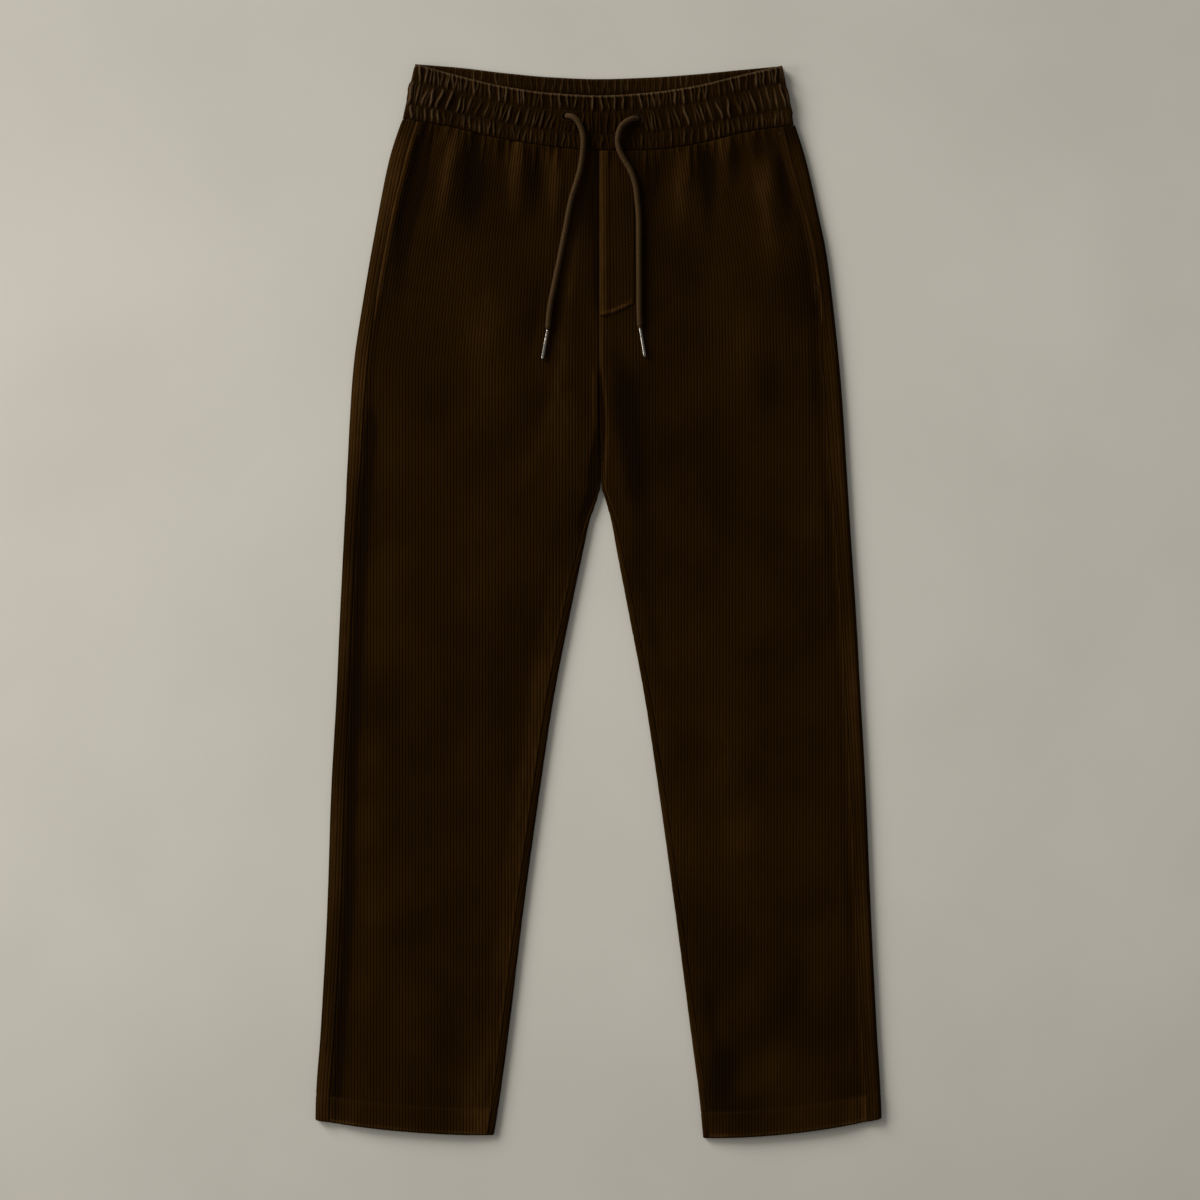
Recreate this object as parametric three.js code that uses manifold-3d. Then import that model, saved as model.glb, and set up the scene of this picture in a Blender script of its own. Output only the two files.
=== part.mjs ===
// Drawstring trousers in corduroy, laid flat on their back.
// X runs across, with +X to the wearer's left. Y runs up to the waist and Z up from the surface.
// The origin lies under the middle of the garment, and all lengths are in millimetres.
import * as THREE from "three";
import { mergeVertices } from "three/addons/utils/BufferGeometryUtils.js";
import Module from "manifold-3d";

const wasm = await Module();
wasm.setup();

// Driving dimensions
const CLOTH = 2.0; // wall of the corduroy
const SEAM_GAP = 0.3; // between pieces that are sewn together
const WAIST_GAP = 0.5; // the same below the waistband, where the panels run straight between columns
const LEG_DEPTH = 5.0; // both layers of a leg at its edges
const WAIST_DEPTH = 7.3; // both layers where the legs meet the waistband
const WAIST_RUN = 22; // distance over which the depth falls from one to the other
const EDGE_RADIUS = 2.5; // rounding of a folded edge
const SEAM_RADIUS = 0.6; // rounding beside the centre seam
const CROTCH_Y = 231; // where the legs part
const CROTCH_RUN = 34; // distance over which the inner edges become round
const CROWN = 2.0; // rise of a front panel over its middle
const CROWN_RUN = 42; // distance from a seam over which it rises
const HEM_DEPTH = 26; // turned-up hem
const HEM_RISE = 0.7; // extra thickness of the hem
const EDGE_LIP = 1.2; // how far a back panel reaches above half depth where no seam lies on top

// Each leg: height on the garment, distance of the side edge and of the inner edge from the
// middle towards that side, and how far the side seam and the inseam lie inside those edges.
const LEG_RIGHT = [
  { y: 482, side: 195.5, inner: -0.35, seam: 14, inseam: 0 },
  { y: 475, side: 198.5, inner: -0.35, seam: 15, inseam: 0 },
  { y: 441, side: 209.5, inner: -0.35, seam: 15.5, inseam: 0 },
  { y: 381, side: 221.5, inner: -0.35, seam: 13, inseam: 0 },
  { y: 311, side: 233.8, inner: -0.35, seam: 12.5, inseam: 0 },
  { y: 231, side: 245.5, inner: -0.85, seam: 14, inseam: 0 },
  { y: 171, side: 249.5, inner: -2.35, seam: 13.5, inseam: 0.5 },
  { y: 140, side: 251, inner: -3.4, seam: 13.5, inseam: 1.5 },
  { y: 116, side: 252.3, inner: -4.0, seam: 13, inseam: 2.5 },
  { y: 97, side: 253, inner: 2.5, seam: 12.5, inseam: 3.5 },
  { y: 81, side: 254, inner: 8.5, seam: 12.5, inseam: 4.5 },
  { y: 51, side: 255.5, inner: 15.0, seam: 12, inseam: 5.5 },
  { y: -9, side: 258.5, inner: 27.5, seam: 12, inseam: 6.5 },
  { y: -99, side: 262.5, inner: 45.0, seam: 12.5, inseam: 6.5 },
  { y: -189, side: 267.5, inner: 58.5, seam: 13.5, inseam: 6.5 },
  { y: -309, side: 271.5, inner: 75.0, seam: 14, inseam: 6.5 },
  { y: -429, side: 278.0, inner: 89.5, seam: 14, inseam: 6.5 },
  { y: -503, side: 283.0, inner: 99.5, seam: 14, inseam: 6.5 },
  { y: -537, side: 283.5, inner: 105.0, seam: 14, inseam: 6.5 },
];
const LEG_LEFT = [
  { y: 482, side: 193.5, inner: 0.65, seam: 12, inseam: 0 },
  { y: 475, side: 196.5, inner: 0.65, seam: 12, inseam: 0 },
  { y: 441, side: 207.5, inner: 0.65, seam: 14, inseam: 0 },
  { y: 381, side: 220.5, inner: 0.65, seam: 11, inseam: 0 },
  { y: 311, side: 232.0, inner: 0.65, seam: 10, inseam: 0 },
  { y: 231, side: 241.5, inner: 1.15, seam: 16, inseam: 0 },
  { y: 171, side: 246.0, inner: 2.7, seam: 16, inseam: 0.5 },
  { y: 140, side: 247.8, inner: 3.8, seam: 15.5, inseam: 1.5 },
  { y: 116, side: 249.3, inner: 5.2, seam: 15, inseam: 2.5 },
  { y: 97, side: 250.5, inner: 8.5, seam: 14.5, inseam: 3.5 },
  { y: 81, side: 251.5, inner: 12.5, seam: 14, inseam: 4.5 },
  { y: 51, side: 253.5, inner: 18.0, seam: 14, inseam: 5.5 },
  { y: -9, side: 257.5, inner: 29.5, seam: 14, inseam: 6.5 },
  { y: -99, side: 262.5, inner: 46.5, seam: 14, inseam: 6.5 },
  { y: -189, side: 267.5, inner: 60.0, seam: 14, inseam: 6.5 },
  { y: -309, side: 272.5, inner: 76.5, seam: 14, inseam: 6.5 },
  { y: -429, side: 278.5, inner: 92.0, seam: 14, inseam: 6.5 },
  { y: -503, side: 282.8, inner: 101.5, seam: 14, inseam: 6.5 },
  { y: -537, side: 283.8, inner: 104.5, seam: 14, inseam: 6.5 },
];

// Hem of each leg: its lowest height at the inner edge and its rise to the side edge.
const HEM_RIGHT = { low: -534, rise: 15 };
const HEM_LEFT = { low: -537, rise: 19.5 };
const HEM_WIDTH = 178;

// Waistband: place across, then the heights of the front's top edge, its two rows of
// stitching and its seam, and of the back's top edge and seam.
const BAND = [
  { x: -196, top: 537, row1: 520, row2: 496.5, seam: 482, back: 537, under: 482 },
  { x: -150, top: 525, row1: 508.5, row2: 488.5, seam: 474, back: 533.5, under: 478.5 },
  { x: -100, top: 514, row1: 497, row2: 478, seam: 462.5, back: 528, under: 473.5 },
  { x: -50, top: 507.5, row1: 490.5, row2: 469.5, seam: 454.5, back: 523.8, under: 469.8 },
  { x: 0, top: 505, row1: 488, row2: 465, seam: 450.4, back: 522, under: 468 },
  { x: 50, top: 507.5, row1: 490.5, row2: 467, seam: 450.6, back: 523.4, under: 468.8 },
  { x: 100, top: 514, row1: 497, row2: 475, seam: 457, back: 526.5, under: 471 },
  { x: 150, top: 525, row1: 508.5, row2: 484.5, seam: 469, back: 531, under: 474 },
  { x: 196, top: 535, row1: 519, row2: 492, seam: 475.5, back: 535, under: 475.5 },
];
const BAND_HEIGHT = 54; // depth of the waistband from top edge to seam
const BAND_FLOOR = 4.8; // underside of the front waistband
const BAND_FACE = 7.7; // its face along the stitching
const BAND_PUFF = 1.1; // swell of each channel between two rows of stitching
const BACK_FACE = 3.9; // upper face of the back waistband
const BACK_RIM = 2.6; // its upper face at the edges
const BACK_UNDER = 1.1; // how far its underside lifts at the edges
const GATHERS_FRONT = { count: 46, height: 0.95 };
const GATHERS_BACK = { count: 53, height: 0.6 };
const BAND_EDGE = { right: [-183.5, -195.5], left: [184.5, 193.5] }; // across, at top and at seam

// Fly, with its J-shaped end
const FLY = { width: 35, top: 449.4, hook: 297, end: 285, thickness: 1.0, lift: 0.35 };

// Drawstring
const CORD_RADIUS = 2.75;
const CORD_SIDES = 8;
const CORD_STEPS = 32;
const AGLET_RADIUS = 2.1;
const AGLET_WALL = 0.4;

// Buttonholes that the drawstring comes out of, by their middles, and the slot's half length and
// half width, the height of its floor and the radius within which the gathers flatten
const BUTTONHOLES = [
  { x: -30.8, y: 484.0 },
  { x: 38.2, y: 481.4 },
];
const BUTTONHOLE = { length: 8.5, width: 3.9, floor: 6.4, flat: 17 };

const brownCloth = (colour, name) =>
  new THREE.MeshStandardMaterial({ color: colour, roughness: 0.95, metalness: 0, name });
const corduroy = brownCloth(0x24170b, "corduroy");
const cordCloth = brownCloth(0x3a2a17, "drawstring");
const steel = new THREE.MeshStandardMaterial({
  color: 0xb9b7b0,
  roughness: 0.3,
  metalness: 1,
  name: "aglet metal",
});

const clamp = THREE.MathUtils.clamp;
const lerp = THREE.MathUtils.lerp;
// Rises from 0 at a to 1 at b, with no slope at either.
function smooth(a, b, x) {
  const t = clamp((x - a) / (b - a), 0, 1);
  return t * t * (3 - 2 * t);
}

// Slope at a row of a table from those on its two sides, which keeps the curve from overshooting.
const between = (a, b) => (a * b <= 0 ? 0 : (2 * a * b) / (a + b));

// Value of one column of a table at a place between its rows, on a curve through them.
function column(rows, key, at, name) {
  const rising = rows[rows.length - 1][key] > rows[0][key] ? 1 : -1;
  let i = 0;
  while (i < rows.length - 2 && rising * (at - rows[i + 1][key]) > 0) i += 1;
  const slope = (a, b) => (rows[b][name] - rows[a][name]) / (rows[b][key] - rows[a][key]);
  const j = i + 1;
  const span = rows[j][key] - rows[i][key];
  const t = clamp((at - rows[i][key]) / span, 0, 1);
  const here = slope(i, j);
  const first = i > 0 ? between(slope(i - 1, i), here) : here;
  const last = j < rows.length - 1 ? between(slope(j, j + 1), here) : here;
  const t2 = t * t;
  const t3 = t2 * t;
  return (
    (2 * t3 - 3 * t2 + 1) * rows[i][name] +
    (t3 - 2 * t2 + t) * span * first +
    (3 * t2 - 2 * t3) * rows[j][name] +
    (t3 - t2) * span * last
  );
}

// Height of one of the waistband's lines at a place across. The lines grow wider downwards.
const LINE_WIDTH = { top: 183.5, back: 183.5, row1: 188.5, row2: 193, seam: 196, under: 196 };
const bandLine = (x, name) => column(BAND, "x", (x * LINE_WIDTH.seam) / LINE_WIDTH[name], name);

// A closed wall between two grids of points that share their outline: face has the fine form and
// back is plain, and each may have its own number of columns and rows.
function wall(face, back) {
  const points = [];
  const triangles = [];
  const lay = (grid) => grid.map((row) => row.map((p) => points.push(p) - 1));
  const faceIds = lay(face);
  const backIds = lay(back);
  const cover = (ids, turned) => {
    for (let j = 0; j < ids.length - 1; j += 1) {
      for (let i = 0; i < ids[0].length - 1; i += 1) {
        const [a, b, c, d] = [ids[j][i], ids[j][i + 1], ids[j + 1][i + 1], ids[j + 1][i]];
        if (turned) triangles.push(a, c, b, a, d, c);
        else triangles.push(a, b, c, a, c, d);
      }
    }
  };
  const border = (ids) => {
    const rows = ids.length - 1;
    const columns = ids[0].length - 1;
    const loop = [];
    for (let i = 0; i < columns; i += 1) loop.push([i / columns, ids[0][i]]);
    for (let j = 0; j < rows; j += 1) loop.push([1 + j / rows, ids[j][columns]]);
    for (let i = columns; i > 0; i -= 1) loop.push([2 + (columns - i) / columns, ids[rows][i]]);
    for (let j = rows; j > 0; j -= 1) loop.push([3 + (rows - j) / rows, ids[j][0]]);
    loop.push([4, ids[0][0]]);
    return loop;
  };
  cover(faceIds, false);
  cover(backIds, true);
  const one = border(faceIds);
  const two = border(backIds);
  let i = 0;
  let j = 0;
  while (i < one.length - 1 || j < two.length - 1) {
    const stepFace = j === two.length - 1 || (i < one.length - 1 && one[i + 1][0] <= two[j + 1][0]);
    if (stepFace) {
      triangles.push(one[i][1], two[j][1], one[i + 1][1]);
      i += 1;
    } else {
      triangles.push(one[i][1], two[j][1], two[j + 1][1]);
      j += 1;
    }
  }
  const geometry = new THREE.BufferGeometry();
  geometry.setAttribute("position", new THREE.Float32BufferAttribute(points.flat(), 3));
  geometry.setIndex(triangles);
  return geometry;
}

// Point of a folded edge at a signed distance along its section from half depth: positive on the
// upper side. Gives how far it lies inside the edge, and its height.
function edgePoint(along, depth, radius, inset) {
  const half = depth / 2 - inset;
  const round = Math.max(Math.min(radius, depth / 2) - inset, 0.15);
  const straight = half - round;
  const arc = (Math.PI * round) / 2;
  const s = Math.abs(along);
  const up = Math.sign(along);
  let inside = round + (s - straight - arc);
  let height = half;
  if (s <= straight) {
    inside = 0;
    height = s;
  } else if (s <= straight + arc) {
    const angle = (s - straight) / round;
    inside = round * (1 - Math.cos(angle));
    height = straight + round * Math.sin(angle);
  }
  return { inside: inside + inset, z: depth / 2 + up * height };
}

// Distance along a section from half depth to where it becomes flat.
function edgeReach(depth, radius, inset) {
  const half = depth / 2 - inset;
  const round = Math.max(Math.min(radius, depth / 2) - inset, 0.15);
  return half - round + (Math.PI * round) / 2;
}

// The largest creases and ridges of the front: place across, heights where it starts and ends,
// half width, how far it stands out (below zero for a trough), and its lean.
const FOLDS = [
  { x: -180.5, from: 476, to: 368, width: 9, height: -0.9, lean: -14 },
  { x: -158, from: 476, to: 430, width: 7, height: 0.7, lean: -8 },
  { x: -142, from: 470, to: 348, width: 12, height: 1.0, lean: -4 },
  { x: -126, from: 462, to: 352, width: 9, height: -0.8, lean: -3 },
  { x: -93, from: 460, to: 430, width: 8, height: -0.7, lean: 6 },
  { x: -81.5, from: 454, to: 380, width: 9, height: 0.8, lean: 2 },
  { x: -63, from: 452, to: 378, width: 8, height: -0.7, lean: 2 },
  { x: -43.5, from: 446, to: 338, width: 10, height: 0.9, lean: 2 },
  { x: 81.5, from: 452, to: 358, width: 10, height: 0.9, lean: -2 },
  { x: 109, from: 452, to: 368, width: 9, height: -0.9, lean: 2 },
  { x: 127, from: 462, to: 418, width: 8, height: 0.8, lean: 2 },
  { x: 136, from: 452, to: 398, width: 7, height: -0.6, lean: 4 },
  { x: 153, from: 472, to: 440, width: 7, height: 0.6, lean: 4 },
  { x: 170, from: 440, to: 298, width: 10, height: 0.9, lean: 6 },
  { x: 160, from: 466, to: 422, width: 7, height: -0.6, lean: 10 },
  { x: 188, from: 440, to: 380, width: 8, height: -0.7, lean: 8 },
  { x: -150, from: -360, to: -480, width: 20, height: -0.6, lean: 40 },
  { x: -190, from: -60, to: -260, width: 22, height: -0.5, lean: -20 },
  { x: 170, from: -40, to: -250, width: 24, height: -0.5, lean: 26 },
  { x: 200, from: -340, to: -470, width: 20, height: -0.6, lean: -34 },
];

// Height that the creases add at a place: each is a bell across and rises and dies out along.
function folds(x, y) {
  return FOLDS.reduce((sum, fold) => {
    const t = (fold.from - y) / (fold.from - fold.to);
    if (t <= 0 || t >= 1) return sum;
    const off = (x - fold.x - fold.lean * (t - 0.3)) / fold.width;
    return sum + fold.height * Math.exp(-off * off) * Math.sin(Math.PI * Math.sqrt(t)) ** 1.2;
  }, 0);
}

// Where a seam runs along the section of a folded edge, from how far it lies inside the edge.
// Without an inseam on top, the two panels meet a little above half depth.
function seamAlong(inside, depth, radius, inset) {
  const reach = edgeReach(depth, radius, 0);
  const own = edgeReach(depth, radius, inset);
  const along = lerp(EDGE_LIP, reach + inside - radius, smooth(0, EDGE_RADIUS, inside));
  return along < reach ? (along * own) / reach : own + along - reach;
}

// Side pockets: the mouth is the open side seam between these heights, with a thicker folded edge.
const POCKET = { top: 470, bottom: 282, width: 7, height: 0.6 };

function pocketEdge(fromSeam, y) {
  const along = smooth(POCKET.bottom - 6, POCKET.bottom + 6, y) * smooth(POCKET.top + 8, POCKET.top - 8, y);
  return POCKET.height * along * smooth(POCKET.width + 5, POCKET.width, fromSeam);
}

// One leg: its edges and seams at a height, and its depth.
const SIDES = {
  right: { sign: -1, table: LEG_RIGHT, hem: HEM_RIGHT },
  left: { sign: 1, table: LEG_LEFT, hem: HEM_LEFT },
};

function section(leg, y) {
  const at = (name) => column(leg.table, "y", y, name);
  const open = smooth(CROTCH_Y + 4, CROTCH_Y - CROTCH_RUN, y);
  return {
    side: at("side"),
    inner: at("inner"),
    seam: at("seam"),
    inseam: at("inseam"),
    round: lerp(SEAM_RADIUS, EDGE_RADIUS, open),
    open,
  };
}

// Depth of both layers: deeper beside the waistband, whose seam lies higher than the legs.
function depthAt(y, seamY) {
  return LEG_DEPTH + (WAIST_DEPTH - LEG_DEPTH) * Math.exp(-Math.max(seamY - y, 0) / WAIST_RUN);
}

// Rise of a front panel between its seams, with none beside them or at the waistband.
function crown(x, y, leg, cut) {
  const d = leg.sign * x;
  const fromSide = smooth(0, CROWN_RUN, cut.side - cut.seam - d);
  const fromInner = smooth(0, CROWN_RUN, d - cut.inner);
  const below = smooth(0, 70, bandLine(x, "seam") - y);
  return CROWN * fromSide * lerp(1, fromInner, lerp(0.45, 1, cut.open)) * below;
}

const hemRise = (x, y, leg) => HEM_RISE * smooth(HEM_DEPTH + 1.5, HEM_DEPTH - 0.5, y - hemY(x, leg));

function hemY(x, leg) {
  const across = (leg.sign * x - 105) / HEM_WIDTH;
  return leg.hem.low + leg.hem.rise * Math.max(across, 0) ** 2;
}

// Heights of the sections of a leg, as distances below the waist seam or above the hem.
const BELOW_WAIST = [0, 6, 14, 25, 40, 58, 80, 108, 140, 175, 205];
const LEG_LEVELS = [228, 213, 197, 172, 146, 120, 107, 95, 80, 56, 15, -45, -120, -200, -290, -380, -450];
const ABOVE_HEM = [27.5, 25.2, 0];

// Height on the garment of section k at a place across, from the seam and the hem there.
const LEVELS = BELOW_WAIST.length + LEG_LEVELS.length + ABOVE_HEM.length;
const MEAN_SEAM = 462;
const FIRST_LEVEL = LEG_LEVELS[0];
function levelY(k, seamY, low) {
  if (k < BELOW_WAIST.length) {
    const run = (seamY - FIRST_LEVEL) / (MEAN_SEAM - FIRST_LEVEL);
    return seamY - WAIST_GAP - BELOW_WAIST[k] * run;
  }
  const j = k - BELOW_WAIST.length;
  if (j < LEG_LEVELS.length) return LEG_LEVELS[j];
  return low + ABOVE_HEM[j - LEG_LEVELS.length];
}

// A panel's point: found in two steps, because the height depends on the place across.
function place(k, across, leg, seamLine) {
  let y = levelY(k, MEAN_SEAM, leg.hem.low);
  let x = 0;
  for (let i = 0; i < 4; i += 1) {
    x = leg.sign * across(section(leg, y), y);
    y = levelY(k, seamLine(x), hemY(x, leg));
  }
  return { x, y, cut: section(leg, y) };
}

const frontSeam = (x) => bandLine(clamp(x, -196, 196), "seam");
const backSeam = (x) => bandLine(clamp(x, -196, 196), "under");

// Front panel: columns from the side seam to the inner edge. The face carries the crown, the
// creases and the hem, and the inside is plain.
const FRONT_COLUMNS = 18;
const FRONT_INSIDE = { columns: 7, every: 2 };
const FRONT_EDGE = [0.62, 0.3, 0];

function frontPoint(k, column01, edge, leg, inset) {
  const spot = (cut, y, i) => {
    const depth = depthAt(y, frontSeam(leg.sign * cut.inner));
    const low = seamAlong(cut.inseam, depth, cut.round, i) + SEAM_GAP;
    const high = Math.max(low, edgeReach(depth, cut.round, i)) + 3;
    const bend = edgePoint(lerp(low, high, edge), depth, cut.round, i);
    return { bend, depth, flat: cut.inner + edgePoint(high, depth, cut.round, i).inside };
  };
  const across = (cut, y) => {
    const { bend, flat } = spot(cut, y, inset);
    if (column01 >= 1) return cut.inner + bend.inside;
    return lerp(cut.side - cut.seam - SEAM_GAP, flat, column01);
  };
  const { x, y, cut } = place(k, across, leg, frontSeam);
  if (column01 >= 1) {
    const { bend } = spot(cut, y, inset);
    const added = inset > 0 ? 0 : hemRise(x, y, leg) * edge;
    return [x, y, bend.z + crown(x, y, leg, cut) * edge + added];
  }
  const depth = depthAt(y, frontSeam(x));
  const rise = crown(x, y, leg, cut);
  if (inset > 0) return [x, y, depth - CLOTH + rise];
  const ends = smooth(0, 14, cut.side - cut.seam - leg.sign * x) * smooth(2, 14, leg.sign * x - cut.inner);
  const nearFly = leg.sign > 0 ? smooth(FLY.width + 4, FLY.width + 24, x) : 1;
  const flyPart = y > FLY.end - 20 ? nearFly : 1;
  const relief = folds(x, y) * ends * flyPart + pocketEdge(cut.side - cut.seam - leg.sign * x, y);
  return [x, y, depth + rise + relief + hemRise(x, y, leg)];
}

function frontGrid(leg, columns, every, inset) {
  const shares = [];
  for (let i = 0; i < columns; i += 1) shares.push([i / columns, 1]);
  FRONT_EDGE.forEach((edge) => shares.push([1, edge]));
  const rows = [];
  for (let k = 0; k < LEVELS; k += 1) {
    if (k % every === 0 || k === LEVELS - 1) {
      rows.push(shares.map(([share, edge]) => frontPoint(k, share, edge, leg, inset)));
    }
  }
  return rows;
}

function frontPanel(leg) {
  const face = frontGrid(leg, FRONT_COLUMNS, 1, 0);
  const inside = frontGrid(leg, FRONT_INSIDE.columns, FRONT_INSIDE.every, CLOTH);
  return turn(wall(face, inside), leg.sign < 0);
}

// Back panel: columns from the side seam on top, round the side edge, along the flat underside
// and up round the inner edge to the inseam.
const BACK_FLAT = EDGE_RADIUS + 2; // from an edge to where the underside is surely flat
const BACK_MIDDLE = [0.1, 0.28, 0.46, 0.64, 0.82];

function backPoint(k, part, leg, inset) {
  const spot = (cut, y) => {
    const seamLine = frontSeam(leg.sign * (part.inner ? cut.inner : cut.side));
    const depth = depthAt(y, seamLine);
    const round = part.inner ? cut.round : EDGE_RADIUS;
    const reach = edgeReach(depth, round, inset);
    const lip = seamAlong(part.inner ? cut.inseam : cut.seam, depth, round, inset);
    if (part.inner) return edgePoint(part.up * (part.up > 0 ? lip : reach), depth, round, inset);
    const along = part.up > 1 ? lerp(reach, lip, part.up - 1) : reach * part.up;
    return edgePoint(along, depth, round, inset);
  };
  const across = (cut, y) => {
    if (part.share !== undefined) {
      return lerp(cut.side - BACK_FLAT, cut.inner + BACK_FLAT, part.share);
    }
    const bend = spot(cut, y);
    return part.inner ? cut.inner + bend.inside : cut.side - bend.inside;
  };
  const seamLine = part.share === undefined && part.up > 0 ? frontSeam : backSeam;
  const { x, y, cut } = place(k, across, leg, seamLine);
  const z = part.share === undefined ? spot(cut, y).z : inset;
  return [x, y, z];
}

const BACK_PARTS = [
  ...[2, 1.5, 1, 0.5, 0, -0.5, -1].map((up) => ({ up })),
  ...BACK_MIDDLE.map((share) => ({ share })),
  ...[-1, -0.5, 0, 0.5, 1].map((up) => ({ up, inner: true })),
];

function backPanel(leg) {
  const grid = (inset, every) => {
    const rows = [];
    for (let k = 0; k < LEVELS; k += 1) {
      if (k % every === 0 || k === LEVELS - 1) {
        rows.push(BACK_PARTS.map((part) => backPoint(k, part, leg, inset)));
      }
    }
    return rows;
  };
  return turn(wall(grid(0, 1), grid(CLOTH, 2)), leg.sign > 0);
}

// Turns the faces of a geometry round where its columns run the other way.
function turn(geometry, turned) {
  if (turned) {
    const ids = geometry.index.array;
    for (let i = 0; i < ids.length; i += 3) [ids[i + 1], ids[i + 2]] = [ids[i + 2], ids[i + 1]];
  }
  return geometry;
}

// Gathers: the columns follow the creases. Each gather takes a crease and two shoulders, and
// the widths and heights vary from one to the next.
function gatherColumns(count) {
  const widths = [];
  for (let i = 0; i < count; i += 1) {
    widths.push(1 + 0.22 * Math.sin(i * 2.4) + 0.13 * Math.sin(i * 5.3 + 1));
  }
  const total = widths.reduce((a, b) => a + b, 0);
  const columns = [];
  let at = 0;
  widths.forEach((width, i) => {
    const size = 0.75 + 0.25 * Math.sin(i * 3.7 + 0.6);
    columns.push({ at: at / total, level: -1, size });
    columns.push({ at: (at + width * 0.32) / total, level: 0.8, size });
    columns.push({ at: (at + width * 0.7) / total, level: 1, size });
    at += width;
  });
  columns.push({ at: 1, level: -1, size: 0.8 });
  return columns;
}

// Front waistband: three channels, each swelling between rows of stitching.
const BAND_ROWS = [
  { from: "top", to: "row1", share: 0, puff: -0.9, gather: 0.5, lean: 0 },
  { from: "top", to: "row1", share: 0.36, puff: 0.9, gather: 1, lean: 0 },
  { from: "top", to: "row1", share: 1, puff: -0.35, gather: 0.55, lean: 0 },
  { from: "row1", to: "row2", share: 0.25, puff: 0.8, gather: 1, lean: 1.2 },
  { from: "row1", to: "row2", share: 0.72, puff: 0.9, gather: 1, lean: 3.4 },
  { from: "row1", to: "row2", share: 1, puff: -0.35, gather: 0.55, lean: 4.2 },
  { from: "row2", to: "seam", share: 0.5, puff: 0.6, gather: 0.8, lean: 3.6 },
  { from: "row2", to: "seam", share: 1, puff: -0.75, gather: 0.35, lean: 3 },
];
const BAND_ENDS = [
  { inside: 0, rise: 0.32 },
  { inside: 1.0, rise: 0.66 },
  { inside: 3.0, rise: 0.92 },
];

function bandX(share, y) {
  const t = (BAND[0].top - y) / BAND_HEIGHT;
  const left = lerp(BAND_EDGE.right[0], BAND_EDGE.right[1], t);
  const right = lerp(BAND_EDGE.left[0], BAND_EDGE.left[1], t);
  return lerp(left, right, share);
}

// How much of the gathers is left at a place: they flatten round the buttonholes.
function gathered(x, y) {
  return BUTTONHOLES.reduce((left, hole) => {
    const away = Math.hypot(x - hole.x, y - hole.y);
    return left * smooth(BUTTONHOLE.flat * 0.55, BUTTONHOLE.flat, away);
  }, 1);
}

function bandFrontFace() {
  const endWidth = 5.5;
  const waves = gatherColumns(GATHERS_FRONT.count).map((c) => ({ ...c, end: 0, rise: 1 }));
  const endColumns = BAND_ENDS.map((e) => ({ level: 0, size: 0, end: e.inside, rise: e.rise }));
  return BAND_ROWS.map((row) => {
    const at = (x) => lerp(bandLine(x, row.from), bandLine(x, row.to), row.share);
    const point = (column, share, offset) => {
      let x = bandX(share, BAND[0].top);
      for (let i = 0; i < 4; i += 1) x = bandX(share, at(x)) + offset;
      const fromEnd = clamp(Math.min(share, 1 - share) * 12, 0, 1);
      x += row.lean * clamp((share - 0.5) * 8, -1, 1) * fromEnd;
      const y = at(x);
      const left = gathered(x, y);
      const wave = GATHERS_FRONT.height * row.gather * column.size * column.level * left;
      const face = BAND_FACE + BAND_PUFF * (row.puff * lerp(0.6, 1, left)) + wave;
      return [x, y, lerp(BAND_FLOOR, face, column.rise)];
    };
    const first = endColumns.map((c) => point(c, 0, c.end));
    const last = endColumns.map((c) => point(c, 1, -c.end)).reverse();
    const middle = waves.map((c) => {
      const width = BAND_EDGE.left[0] - BAND_EDGE.right[0];
      const share = lerp(endWidth / width, 1 - endWidth / width, c.at);
      return point(c, share, 0);
    });
    return [...first, ...middle, ...last];
  });
}

const PLAIN_COLUMNS = [0, 0.02];
for (let i = 1; i < 24; i += 1) PLAIN_COLUMNS.push(i / 24);
PLAIN_COLUMNS.push(0.98, 1);

function bandFrontInside() {
  const rows = ["top", "row1", "row2", "seam"];
  return rows.map((name) =>
    PLAIN_COLUMNS.map((share) => {
      let x = bandX(share, BAND[0].top);
      for (let i = 0; i < 4; i += 1) x = bandX(share, bandLine(x, name));
      return [x, bandLine(x, name), BAND_FLOOR];
    }),
  );
}

function solidOf(geometry) {
  const merged = mergeVertices(geometry, 1e-4);
  return new wasm.Manifold(
    new wasm.Mesh({
      numProp: 3,
      vertProperties: new Float32Array(merged.attributes.position.array),
      triVerts: new Uint32Array(merged.index.array),
    }),
  );
}

function geometryOf(solid) {
  const mesh = solid.getMesh();
  const geometry = new THREE.BufferGeometry();
  geometry.setAttribute("position", new THREE.Float32BufferAttribute(mesh.vertProperties, 3));
  geometry.setIndex(Array.from(mesh.triVerts));
  return geometry;
}

// Slot of a buttonhole: a block with round ends, standing on the slot's floor.
function slotCutter(hole) {
  const shape = new THREE.Shape();
  const run = BUTTONHOLE.length - BUTTONHOLE.width;
  shape.absarc(run, 0, BUTTONHOLE.width, -Math.PI / 2, Math.PI / 2);
  shape.absarc(-run, 0, BUTTONHOLE.width, Math.PI / 2, (3 * Math.PI) / 2);
  const block = new THREE.ExtrudeGeometry(shape, { depth: 8, bevelEnabled: false, curveSegments: 5 });
  block.deleteAttribute("normal");
  block.deleteAttribute("uv");
  block.translate(hole.x, hole.y, BUTTONHOLE.floor);
  return solidOf(block);
}

function waistbandFront() {
  let solid = solidOf(turn(wall(bandFrontFace(), bandFrontInside()), true));
  BUTTONHOLES.forEach((hole) => {
    solid = solid.subtract(slotCutter(hole));
  });
  return geometryOf(solid);
}

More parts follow.
